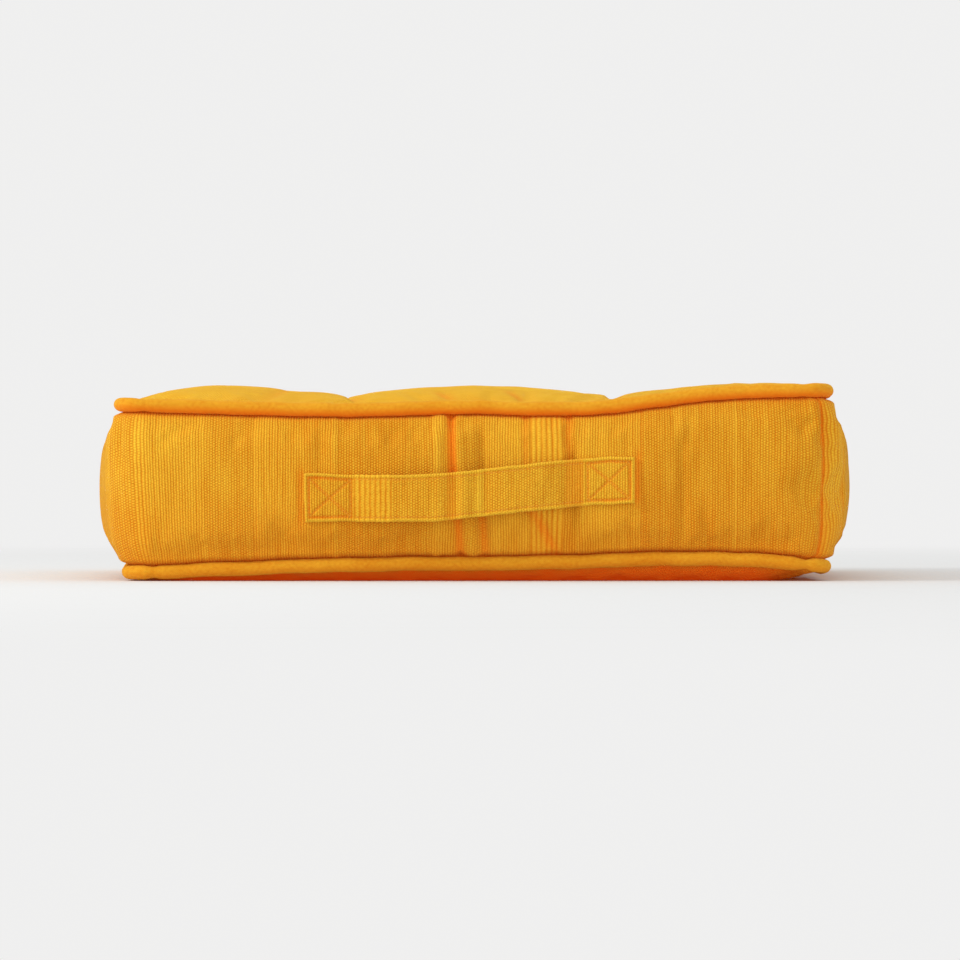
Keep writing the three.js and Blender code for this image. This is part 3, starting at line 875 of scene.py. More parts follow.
@dataclass(frozen=True)
class Crease:
    """A sharp valley in the top panel, from a start to an end, in plan."""

    start: tuple[float, float]
    end: tuple[float, float]
    depth: float
    width: float

    def drop(self, x: np.ndarray, y: np.ndarray) -> np.ndarray:
        """Depth at each place: falls off evenly to both sides, and towards both ends."""
        a, b = np.array(self.start), np.array(self.end)
        along = b - a
        t = ((x - a[0]) * along[0] + (y - a[1]) * along[1]) / (along @ along)
        s = np.clip(t, 0, 1)
        off = np.hypot(x - a[0] - s * along[0], y - a[1] - s * along[1])
        soft = np.sqrt(off**2 + (1.5 * MM) ** 2) - 1.5 * MM
        return self.depth * np.exp(-soft / self.width) * (0.55 + 0.45 * np.cos(np.pi * (s - 0.35)))


@dataclass(frozen=True)
class Pleat:
    """A fold down the boxing: at a place on the outline, leaning sideways, over a share of the height.

    A positive depth draws the cloth in, and a negative one pushes it out. top and bottom are shares of the
    height from the upper seam. dark is how much painted shade is laid along the fold.
    """

    place: float
    lean: float
    width: float
    depth: float
    top: float
    bottom: float
    dark: float = 0.0

    def weight(self, place: np.ndarray, down: np.ndarray) -> np.ndarray:
        """The fold's bump across, times a window down the height that eases in and out."""
        ease, inside = 0.12, 0.02
        begun = step_up(down, self.top - ease, self.top + inside)
        over = step_up(down, self.bottom - inside, self.bottom + ease)
        return hill(place - self.place - self.lean * down, self.width) * begun * (1 - over)


TOP_CREASES = (
    Crease((-0.120, -0.120), (-0.096, -0.288), 5.0 * MM, 7 * MM),
    Crease((-0.120, -0.120), (-0.180, -0.286), 4.5 * MM, 12 * MM),
    Crease((0.120, -0.120), (0.121, -0.288), 4.5 * MM, 8 * MM),
    Crease((0.120, -0.120), (0.190, -0.270), 2.5 * MM, 9 * MM),
    Crease((-0.030, -0.262), (-0.016, -0.284), 1.6 * MM, 5 * MM),
    Crease((0.028, -0.255), (0.046, -0.284), 1.8 * MM, 5 * MM),
    Crease((-0.120, 0.120), (-0.128, 0.288), 4.5 * MM, 8 * MM),
    Crease((0.120, 0.120), (0.104, 0.288), 4.5 * MM, 8 * MM),
    Crease((-0.120, -0.120), (-0.272, -0.109), 4.5 * MM, 8 * MM),
    Crease((-0.120, 0.120), (-0.272, 0.125), 4.5 * MM, 8 * MM),
    Crease((0.120, -0.120), (0.288, -0.126), 4.5 * MM, 8 * MM),
    Crease((0.120, 0.120), (0.288, 0.110), 4.5 * MM, 8 * MM),
    Crease((-0.120, -0.120), (0.120, -0.120), 3.5 * MM, 8 * MM),
    Crease((-0.120, 0.120), (0.120, 0.120), 3.5 * MM, 8 * MM),
    Crease((-0.120, -0.120), (-0.120, 0.120), 3.5 * MM, 8 * MM),
    Crease((0.120, -0.120), (0.120, 0.120), 3.5 * MM, 8 * MM),
    Crease((-0.120, -0.120), (-0.215, -0.225), 2.0 * MM, 9 * MM),
    Crease((-0.120, 0.120), (-0.210, 0.220), 2.0 * MM, 9 * MM),
    Crease((0.120, 0.120), (0.220, 0.205), 2.0 * MM, 9 * MM),
    Crease((-0.120, -0.120), (-0.040, -0.190), 1.8 * MM, 9 * MM),
    Crease((0.120, -0.120), (0.050, -0.185), 1.8 * MM, 9 * MM),
    Crease((-0.120, 0.120), (-0.050, 0.050), 1.6 * MM, 9 * MM),
    Crease((0.120, -0.120), (0.060, -0.050), 1.6 * MM, 9 * MM),
)

# A pleat's last number, where given, is the painted shade laid along it, in the deeper folds and beside the
# strap's tabs.
PLEATS = (
    Pleat(-0.0195, 0.001, 3.0 * MM, 3.4 * MM, 0.0, 0.55, 0.95),
    Pleat(-0.0270, 0.000, 4.0 * MM, -1.2 * MM, 0.0, 0.5),
    Pleat(-0.0120, 0.000, 4.0 * MM, -0.9 * MM, 0.0, 0.5),
    Pleat(-0.0230, 0.012, 3.6 * MM, 2.2 * MM, 0.45, 1.0, 0.5),
    Pleat(-0.0150, 0.014, 4.5 * MM, -1.4 * MM, 0.45, 0.95),
    Pleat(-0.0020, 0.012, 4.0 * MM, 1.2 * MM, 0.55, 0.95, 0.35),
    Pleat(0.0020, 0.070, 5.0 * MM, 1.8 * MM, 0.5, 0.9, 0.35),
    Pleat(0.0430, 0.000, 2.6 * MM, 0.9 * MM, 0.0, 0.6, 0.25),
    Pleat(0.0800, -0.002, 3.4 * MM, 1.4 * MM, 0.0, 0.5, 0.35),
    Pleat(-0.1180, 0.001, 3.4 * MM, -0.9 * MM, 0.0, 1.0),
    Pleat(-0.0320, 0.000, 3.0 * MM, -0.9 * MM, 0.0, 1.0),
    Pleat(-0.1848, 0.001, 1.8 * MM, 0.4 * MM, 0.0, 1.0, 0.1),
    Pleat(0.1400, 0.003, 3.0 * MM, 0.4 * MM, 0.0, 1.0, 0.1),
    Pleat(0.3130, 0.000, 2.4 * MM, -1.2 * MM, 0.05, 0.95),
    Pleat(0.3095, 0.000, 1.8 * MM, 0.9 * MM, 0.05, 0.95, 0.35),
    Pleat(-0.1465, 0.001, 2.6 * MM, 0.5 * MM, 0.42, 0.72, 0.3),
    Pleat(0.1385, -0.002, 2.4 * MM, 1.2 * MM, 0.36, 0.60, 0.55),
    Pleat(0.8560, 0.002, 3.5 * MM, 2.4 * MM, 0.0, 0.6, 0.4),
    Pleat(1.1840, -0.004, 4.0 * MM, 2.8 * MM, 0.0, 0.7, 0.5),
    Pleat(-0.6100, 0.004, 4.0 * MM, 2.4 * MM, 0.0, 0.6, 0.4),
)


# How the cotton behaves while it is filled: firm to stretch, easy to bend, under light air pressure.
CLOTH_RULES = {
    "quality": 5,
    "mass": 0.3,
    "tension_stiffness": 12,
    "compression_stiffness": 12,
    "shear_stiffness": 6,
    "bending_stiffness": 0.35,
    "use_pressure": True,
    "uniform_pressure_force": 4.0,
    "vertex_group_mass": "held",
    "shrink_min": -0.035,
}


@dataclass
class Skin:
    """The whole cover as one closed surface, before and after it is filled."""

    sizes: Sizes
    outline: Outline
    seams: Seams
    cells: int = 90
    corner_cells: int = 3
    hug: float = 6.9 * MM
    slack: float = 4.0 * MM
    side_bulge: float = 32 * MM
    corner_bulge: float = 8 * MM
    fullness: float = 0.29
    lower_fullness: float = 0.25
    floor_roll: float = 38 * MM
    edge_roll: float = 105 * MM
    tuft_seat: float = 9 * MM
    most_move: float = 6 * MM
    most_floor_move: float = 1.2 * MM
    frames: int = 20

    def __post_init__(self) -> None:
        """Works out the filled cushion's three surfaces."""
        half, core = self.sizes.panel_half, self.sizes.core
        corner = np.linspace(core, half, self.corner_cells + 1)[1:]
        middle = np.linspace(-core, core, self.cells - 2 * self.corner_cells + 1)
        self.lines = np.concatenate([-corner[::-1], middle, corner])
        self.ring = self.ring_places()
        self.top = self.top_panel()
        self.bottom = self.bottom_panel()
        self.box, self.down = self.boxing()

    def ring_places(self) -> np.ndarray:
        """Where the panels' grid lines meet the outline, from the front left corner on round."""
        core, half = self.sizes.core, self.sizes.panel_half
        past = np.maximum(np.abs(self.lines) - core, 0)
        turn = np.arctan2(past, half - core)
        local = np.sign(self.lines) * (np.minimum(np.abs(self.lines), core) + self.sizes.corner_radius * turn)
        return np.concatenate([local[:-1] + k * self.sizes.side for k in range(4)])

    def panel_plan(self) -> tuple[np.ndarray, np.ndarray, np.ndarray]:
        """The panels' grid: a square grid whose corner squares are drawn in to quarter circles.

        Returns:
            x, y and each point's distance from the rim.
        """
        half, core = self.sizes.panel_half, self.sizes.core
        x, y = np.meshgrid(self.lines, self.lines, indexing="ij")
        past_x, past_y = (v - np.clip(v, -core, core) for v in (x, y))
        most = np.maximum(np.abs(past_x), np.abs(past_y))
        reach = np.maximum(np.hypot(past_x, past_y), 1e-12)
        plan_x = np.clip(x, -core, core) + past_x * most / reach
        plan_y = np.clip(y, -core, core) + past_y * most / reach
        return plan_x, plan_y, half - np.maximum(np.abs(x), np.abs(y))

    def from_rim(self, rim: np.ndarray) -> np.ndarray:
        """Spreads values on the rim over a panel: the sum of the two ways across, less the corners' share.

        Args:
            rim: a value for each place on the ring.

        Returns:
            A value for each point of the panel's grid.
        """
        n = len(self.lines) - 1
        front, right, back, left = (rim[k * n:(k + 1) * n] for k in range(4))
        front = np.append(front, right[0])
        right = np.append(right, back[0])
        back = np.append(back, left[0])[::-1]
        left = np.append(left, front[0])[::-1]
        s = (self.lines / self.sizes.panel_half + 1) / 2
        u, v = np.meshgrid(s, s, indexing="ij")
        across = (1 - v) * front[:, None] + v * back[:, None] + (1 - u) * left[None, :] + u * right[None, :]
        near_corners = (1 - u) * (1 - v) * front[0] + u * (1 - v) * front[-1]
        far_corners = (1 - u) * v * back[0] + u * v * back[-1]
        return across - near_corners - far_corners

    def tuft_distance(self, x: np.ndarray, y: np.ndarray) -> np.ndarray:
        """Distance to the nearest tuft."""
        return np.hypot(np.abs(x) - self.sizes.tuft, np.abs(y) - self.sizes.tuft)

    def pillow(self, along: np.ndarray, skew: float) -> np.ndarray:
        """Three crowns in a row, with a sharp valley at each tuft line: 1 - |2 t^skew - 1|^1.8 over each."""
        half, tuft = self.sizes.panel_half, self.sizes.tuft
        edges = np.array([-half, -tuft, tuft, half])
        cell = np.clip(np.searchsorted(edges, along, side="right") - 1, 0, 2)
        t = np.clip((along - edges[cell]) / (edges[cell + 1] - edges[cell]), 0, 1)
        t = np.where(cell == 0, t ** (1 - skew), np.where(cell == 2, 1 - (1 - t) ** (1 - skew), t))
        return 1 - np.abs(2 * t - 1) ** 1.8

    def fullness_of_pillows(self, x: np.ndarray, y: np.ndarray) -> np.ndarray:
        """How high each pillow stands: 8 mm, more at the front left corner, less at the front right."""
        outer = 210 * MM
        left = hill(np.hypot(x + outer, y + outer), 100 * MM)
        right = hill(np.hypot(x - outer, y + outer), 130 * MM)
        return (8.0 + 1.5 * left - 3.5 * right + 0.8 * ripple(Seed.CROWN, x, y, 0.25)) * MM

    def top_panel(self) -> np.ndarray:
        """The top panel: a rolled edge, a low crown, nine pillows, valleys between and dips at the tufts."""
        x, y, inset = self.panel_plan()
        seam = self.from_rim(self.seams.height(Edge.UPPER, self.ring)) + self.sizes.rim
        level = self.sizes.upper_seam - 1 * MM
        roll = 1 - np.clip(1 - inset / self.edge_roll, 0, 1) ** 2.2
        lift = (seam - level) * np.clip(1 - inset / (110 * MM), 0, 1) ** 2
        bent_x = x - 20 * MM * np.clip((-self.sizes.tuft - y) / (168 * MM), 0, 1) * (x < 0)
        pillow = self.pillow(bent_x, 0.22) * self.pillow(y, 0.18)
        z = level + lift + 6.0 * MM * roll + self.fullness_of_pillows(x, y) * np.clip(pillow, 0, 1) ** 0.8
        for crease in TOP_CREASES:
            z -= crease.drop(x, y) * np.clip(inset / (6 * MM), 0, 1)
        near = self.tuft_distance(x, y)
        dip = np.exp(-np.maximum(near - self.tuft_seat, 0) / (24 * MM))
        z = z * (1 - dip) + self.sizes.tuft_top * dip
        ceiling = np.maximum(self.sizes.crown - 0.5 * MM, seam + 1.5 * MM)
        return np.stack([x, y, np.minimum(z, ceiling)], axis=-1)

    def bottom_panel(self) -> np.ndarray:
        """The bottom panel: it rolls down from its rim on to the floor, drawn up a little at each tuft."""
        x, y, inset = self.panel_plan()
        rim = self.from_rim(self.seams.height(Edge.LOWER, self.ring)) - self.sizes.rim
        z = np.maximum(rim, 0.8 * MM) * np.clip(1 - inset / self.floor_roll, 0, 1) ** 1.7
        near = self.tuft_distance(x, y)
        dip = np.exp(-np.maximum(near - self.tuft_seat, 0) / (17 * MM)) - 0.02
        z = z + np.clip(dip, 0, 1) * (self.sizes.tuft_bottom - z)
        return np.stack([x, y, np.maximum(z, 0)], axis=-1)

    def swell(self, place: np.ndarray) -> np.ndarray:
        """How far the boxing stands out at half height: most in the middle of a side, least at a corner.

        The front swells less, to leave room for the strap.
        """
        side = self.sizes.side
        quarter = np.mod(np.round(place / side), 4)
        along = np.abs(place / side - np.round(place / side)) * 2
        front = -self.sizes.front_face - self.sizes.piping_half
        most = np.where(quarter == 0, front, self.side_bulge) - self.slack
        return self.corner_bulge + (most - self.corner_bulge) * (1 - along**3)

    def boxing(self) -> tuple[np.ndarray, np.ndarray]:
        """The boxing: in under the upper piping, out as (1 - |2 t - 1|^2.2)^fullness, in to the lower one.

        Returns:
            The points, rows from the top by places on the ring, and each row's share of the way down.
        """
        upper = self.seams.height(Edge.UPPER, self.ring)
        lower = self.seams.height(Edge.LOWER, self.ring)
        turn = np.radians(np.linspace(206, 262, 4))[:, None]
        rise, out = self.hug * np.sin(turn), self.hug * np.cos(turn)
        even = np.linspace(0, 1, 21)[1:-1][:, None]
        share = even - 0.10 * np.sin(2 * np.pi * even)
        start, end = (upper + rise[-1]), (lower - rise[-1])
        power = np.where(share < 0.5, self.fullness, self.lower_fullness)
        swell = out[-1] + (self.swell(self.ring) - out[-1]) * (1 - np.abs(2 * share - 1) ** 2.2) ** power
        offset = np.concatenate([out + 0 * upper, swell, out[::-1] + 0 * upper])
        height = np.concatenate([upper + rise, start + (end - start) * share, (lower - rise)[::-1]])
        xy, _ = self.outline.at(np.broadcast_to(self.ring, offset.shape), offset)
        down = (height[0] - height) / (height[0] - height[-1])
        return np.concatenate([xy, height[..., None]], axis=-1), down

    def rim_numbers(self) -> np.ndarray:
        """The panel grid's rim as vertex numbers, in the ring's order."""
        n = len(self.lines)
        grid = np.arange(n * n).reshape(n, n)
        return np.concatenate([grid[:-1, 0], grid[-1, :-1], grid[:0:-1, -1], grid[0, :0:-1]])

    def sewn_faces(self) -> np.ndarray:
        """The closed form's faces: those of the three surfaces, and a ring along each seam that joins them.

        Returns:
            Each face's four vertex numbers, counted through the top panel, the boxing and the bottom panel.
        """
        rows, columns = self.box.shape[:2]
        box_start = len(self.lines) ** 2
        bottom_start = box_start + rows * columns
        last = bottom_start - columns
        rim, ring = self.rim_numbers(), np.arange(columns)
        beside, after = np.roll(rim, -1), np.roll(ring, -1)
        return np.concatenate([
            Patch(self.top).faces()[0],
            Patch(self.box, closed_second=True).faces()[0] + box_start,
            Patch(self.bottom, flip=True).faces()[0] + bottom_start,
            np.stack([rim, box_start + ring, box_start + after, beside], axis=1),
            np.stack([last + ring, rim + bottom_start, beside + bottom_start, last + after], axis=1),
        ])

    def held_points(self, points: np.ndarray) -> np.ndarray:
        """Finds what the simulation holds still.

        Args:
            points: the closed form's points.

        Returns:
            True for the rims, the rows beside the piping, the corner seams, the tufts and the flat bottom.
        """
        rows, columns = self.box.shape[:2]
        box_start = len(self.lines) ** 2
        bottom_start = box_start + rows * columns
        row, column = np.divmod(np.arange(rows * columns), columns)
        near_tuft = self.tuft_distance(points[:, 0], points[:, 1]) < self.tuft_seat
        held = near_tuft | (points[:, 2] < 0.5 * MM)
        held[:box_start] = near_tuft[:box_start]
        at_corner_seam = np.isin(column, (self.cells, 3 * self.cells))
        held[box_start:bottom_start] = (row < 3) | (row > rows - 4) | at_corner_seam
        held[self.rim_numbers()] = True
        held[self.rim_numbers() + bottom_start] = True
        return held

    def blown_up(self, points: np.ndarray) -> np.ndarray:
        """Runs the simulation: cloth under air pressure with no weight, a little too large for its shape.

        Args:
            points: the closed form's points.

        Returns:
            The points after the last frame.
        """
        mesh = bpy.data.meshes.new("filling_form")
        mesh.from_pydata(points.tolist(), [], self.sewn_faces().tolist())
        form = bpy.data.objects.new("filling_form", mesh)
        scene = bpy.context.scene
        scene.collection.objects.link(form)
        group = form.vertex_groups.new(name="held")
        group.add(np.flatnonzero(self.held_points(points)).tolist(), 1.0, "REPLACE")
        cloth = form.modifiers.new("cloth", "CLOTH")
        for rule, value in CLOTH_RULES.items():
            setattr(cloth.settings, rule, value)
        cloth.settings.effector_weights.gravity = 0
        cloth.collision_settings.use_collision = False
        for frames in (scene, cloth.point_cache):
            frames.frame_start, frames.frame_end = 1, self.frames
        for number in range(1, self.frames + 1):
            scene.frame_set(number)
        done = form.evaluated_get(bpy.context.evaluated_depsgraph_get()).to_mesh()
        moved = np.empty(len(points) * 3, np.float32)
        done.vertices.foreach_get("co", moved)
        bpy.data.objects.remove(form)
        scene.frame_set(1)
        return moved.reshape(-1, 3).astype(float)

    def fill(self) -> None:
        """Fills the cover by the simulation, as far as each point may move.

        The move eases off at most_move, or at most_floor_move underneath, by tanh, and is none at a seam.
        """
        points = np.concatenate([part.reshape(-1, 3) for part in (self.top, self.box, self.bottom)])
        box_start = len(self.lines) ** 2
        bottom_start = box_start + self.down.size
        move = self.blown_up(points) - points
        far = np.maximum(np.linalg.norm(move, axis=1, keepdims=True), 1e-9)
        most = np.where(np.arange(len(points)) < bottom_start, self.most_move, self.most_floor_move)[:, None]
        freedom = np.ones(len(points))
        freedom[box_start:bottom_start] = step_up(np.minimum(self.down, 1 - self.down).ravel(), 0.0, 0.2)
        points = points + freedom[:, None] * move * most * np.tanh(far / most) / far
        log.info("cover filled: points moved up to %.1f mm", far.max() / MM)
        self.top = points[:box_start].reshape(self.top.shape)
        self.box = points[box_start:bottom_start].reshape(self.box.shape)
        self.bottom = points[bottom_start:].reshape(self.bottom.shape)
        self.bottom[..., 2] = np.maximum(self.bottom[..., 2], 0)

    def draw_corners(self) -> None:
        """Draws the three surfaces' corners out into ears."""
        self.top = draw_ears(self.top, self.sizes)
        self.box = draw_ears(self.box, self.sizes)
        self.bottom = draw_ears(self.bottom, self.sizes)


class Strip(Enum):
    """The two strips that the boxing is cut from, each from one corner round to the opposite one."""

    FRONT_LEFT = "front_left"
    RIGHT_BACK = "right_back"


@dataclass
class Cover:
    """The cover's sewn pieces, cut from the filled skin and finished with folds, puckers and seams."""

    skin: Skin
    wardrobe: Wardrobe
    row_density: float = 2.5
    panel_density: int = 2
    seam_width: float = 2.4 * MM
    seam_depth: float = 1.5 * MM
    seam_gap: float = 0.02 * MM
    boxing_cut: float = 150 * MM
    cloth_shift: float = 430.5 * MM

    def seam_offset(self, down: np.ndarray) -> np.ndarray:
        """How far a corner's seam lies past its corner on its way down: one slow bend and small waves."""
        return (-6.5 + (2.2 + 0.35 * np.sin(down * 19.0)) * np.sin(np.pi * down)) * MM

    def columns(self, strip: Strip) -> np.ndarray:
        """Fractional ring numbers of a strip's columns, closer together on the front."""
        n = self.skin.cells
        if strip is Strip.FRONT_LEFT:
            left, front = np.linspace(3 * n, 4 * n, 2 * n + 1)[:-1], np.linspace(4 * n, 5 * n, 6 * n + 1)
            return np.concatenate([left, front])
        return np.linspace(n, 3 * n, 5 * n + 1)

    def strip_grid(self, strip: Strip) -> tuple[np.ndarray, np.ndarray, np.ndarray]:
        """Reads a strip off the skin along finer rows and columns.

        Args:
            strip: which of the two strips.

        Returns:
            The strip's points, their shares of the way down and their places along the outline.
        """
        skin, around = self.skin, self.skin.outline.around
        columns = self.columns(strip)
        rows = skin.box.shape[0]
        row_places = np.linspace(0, rows - 1, int((rows - 1) * self.row_density) + 1)
        points = resampled(resampled(skin.box, columns, 1, closed=True), row_places, 0)
        down = resampled(resampled(skin.down, columns, 1, closed=True), row_places, 0)
        turns = np.floor(columns / (4 * skin.cells))
        ring = np.append(skin.ring, skin.ring[0] + around)
        place = np.interp(columns - turns * 4 * skin.cells, np.arange(len(ring)), ring) + (turns - 1) * around
        if strip is Strip.RIGHT_BACK:
            place = place + around
        return points, down, np.broadcast_to(place, down.shape)

    def lean_of_seams(self, place: np.ndarray, down: np.ndarray) -> np.ndarray:
        """How far a strip's ends slide along the outline: both strips follow one seam, seam_gap apart."""
        side, around = self.skin.sizes.side, self.skin.outline.around
        beside = place[..., None] - np.array([side / 2, -1.5 * side])
        beside = beside - around * np.round(beside / around)
        shift = (self.seam_offset(down)[..., None] * hill(beside, 14 * MM)).sum(-1)
        apart = self.seam_gap * (hill(place - place[0, 0], 3 * MM) - hill(place - place[0, -1], 3 * MM))
        return shift + apart

    def boxing_patch(self, strip: Strip) -> Patch:
        """One boxing strip as a grid, moved along its normals into puckers, pleats and seams.

        Args:
            strip: which of the two strips.

        Returns:
            The strip, with its cut's coordinates and how much painted shade each point takes.
        """
        points, down, place = self.strip_grid(strip)
        tall = np.linalg.norm(np.diff(points, axis=0), axis=-1)
        fall = np.concatenate([np.zeros((1, tall.shape[1])), np.cumsum(tall, axis=0)])
        left = fall[-1] - fall
        _, out = self.skin.outline.at(place, 0.0)
        ends = np.minimum(np.abs(place - place[0, 0]), np.abs(place[0, -1] - place))
        shared = fade(ends, 3 * MM)[..., None]
        level_out = np.concatenate([out, 0 * out[..., :1]], axis=-1)
        normal = grid_normals(points) * (1 - shared) + level_out * shared
        wave = ripple(Seed.BOXING_PUCKER, place, down * 0.05, 0.011)
        wave = wave * (fade(fall - 5 * MM, 9 * MM) + fade(left - 5 * MM, 9 * MM))
        soft = ripple(Seed.BOXING_SWELL, place, down * 0.12, 0.05)
        move = 0.12 * MM * wave * step_up(fall, 3 * MM, 8 * MM) * step_up(left, 3 * MM, 8 * MM)
        move = move + 0.55 * MM * soft * np.sin(np.pi * down)
        # Painted shade: deep next to both piped seams, a little everywhere, more on the lower half, which
        # faces away from the light above, and in each pleat by its dark share.
        crease = 0.85 * fade(fall - 4 * MM, 5.5 * MM) + 0.75 * fade(left - 4 * MM, 5.0 * MM)
        crease = crease + 0.06 + 0.2 * step_up(down, 0.4, 1.0)
        for pleat in PLEATS:
            shape = pleat.weight(place, down)
            move = move - pleat.depth * shape * step_up(fall, 2 * MM, 9 * MM)
            crease = crease + pleat.dark * shape
        pull = 1 - 0.25 * ripple(Seed.CORNER_SEAM, fall, fall * 0, 0.012)
        move = move - self.seam_depth * fade(ends, self.seam_width) * pull
        move = move + 0.5 * MM * hill(ends - 5 * MM, 3 * MM)
        # Painted shade along the corner seams.
        crease = crease + 0.8 * fade(ends, 1.3 * MM)
        points = points + normal * move[..., None]
        tangent = np.stack([-out[..., 1], out[..., 0]], axis=-1)
        points[..., :2] += tangent * self.lean_of_seams(place, down)[..., None]
        uv = np.stack([place - (self.cloth_shift if strip is Strip.RIGHT_BACK else 0.0), fall], axis=-1)
        return Patch(points, uv, values={"crease": np.clip(crease, 0, 0.68), "painted_light": 0 * crease})

    def panel_patch(self, edge: Edge) -> Patch:
        """The top or bottom panel as a grid: the skin read along lines half as far apart, with fine wrinkles.

        Args:
            edge: UPPER for the top panel.

        Returns:
            The panel, with its cut's coordinates, how much painted shade each point takes and how much
            painted light.
        """
        skin = self.skin
        coarse = skin.top if edge is Edge.UPPER else skin.bottom
        lines = np.linspace(0, skin.cells, skin.cells * self.panel_density + 1)
        points = resampled(resampled(coarse, lines, 0), lines, 1)
        flat_x, flat_y, inset = (resampled(resampled(v, lines, 0), lines, 1) for v in skin.panel_plan())
        near = skin.tuft_distance(flat_x, flat_y)
        angle = np.arctan2(np.abs(flat_y) - skin.sizes.tuft, np.abs(flat_x) - skin.sizes.tuft)
        inner = step_up(inset, 2 * MM, 12 * MM)
        if edge is Edge.UPPER:
            gather = 0.9 * MM * np.sin(9 * angle + 2 * ripple(Seed.TUFT_GATHER, flat_x, flat_y, 0.08))
            gather = gather * step_up(near, 6 * MM, 14 * MM) * fade(np.maximum(near - 14 * MM, 0), 16 * MM)
            pucker = ripple(Seed.PANEL_PUCKER, flat_x, flat_y, 0.016)
            pucker = 0.5 * MM * pucker * fade(inset, 14 * MM) * inner
            swell = 0.3 * MM * inner * ripple(Seed.PANEL_SWELL, flat_x, flat_y, 0.035)
            points[..., 2] += gather + pucker + swell
            # Painted shade: along the rim under the piping, round each tuft and in each valley.
            crease = 0.35 * fade(inset, 4 * MM) + 0.9 * fade(near, 13 * MM)
            for valley in TOP_CREASES:
                crease = crease + 0.6 * (valley.drop(flat_x, flat_y) / valley.depth) ** 2
        else:
            points[..., 2] = np.maximum(points[..., 2], 0)
            # Painted shade over the whole bottom panel, which lies in shade underneath: more in from its rim,
            # and most along the front, where the painted glow shows.
            front = (1 - step_up(flat_y, -0.24, -0.16)) * (1 - step_up(np.abs(flat_x), 0.235, 0.275))
            crease = 0.55 + (0.1 + 0.35 * front) * step_up(inset, 0, 10 * MM)
        uv = np.stack([flat_y + 60 * MM, flat_x], axis=-1)
        upper = edge is Edge.UPPER
        crease = np.clip(crease, 0, 0.6 if upper else 1.0)
        # Painted light: the whole top panel is lightened as a top lit from above; the bottom panel gets none.
        painted_light = np.full(crease.shape, 0.4 * upper)
        return Patch(points, uv, flip=not upper, values={"crease": crease, "painted_light": painted_light})

    def build(self) -> dict[str, bpy.types.Object]:
        """Makes the cover's four pieces.

        Returns:
            The pieces by name.
        """
        sizes = self.skin.sizes
        made = {}
        for edge in Edge:
            piece = mesh_piece(f"cover_{edge.value}", [self.panel_patch(edge)], self.wardrobe.cover)
            made[edge.value] = piece
            thicken(piece, sizes.cloth)
            settle(piece, CUSHION, f"{edge.value}_panel")
        for strip in Strip:
            name = f"boxing_{strip.value}"
            piece = mesh_piece(f"cover_{name}", [self.boxing_patch(strip)], self.wardrobe.cover)
            made[name] = piece
            thicken(piece, sizes.cloth)
            settle(piece, CUSHION, name)
        return made


# ---- Piping, filling and tufts ----


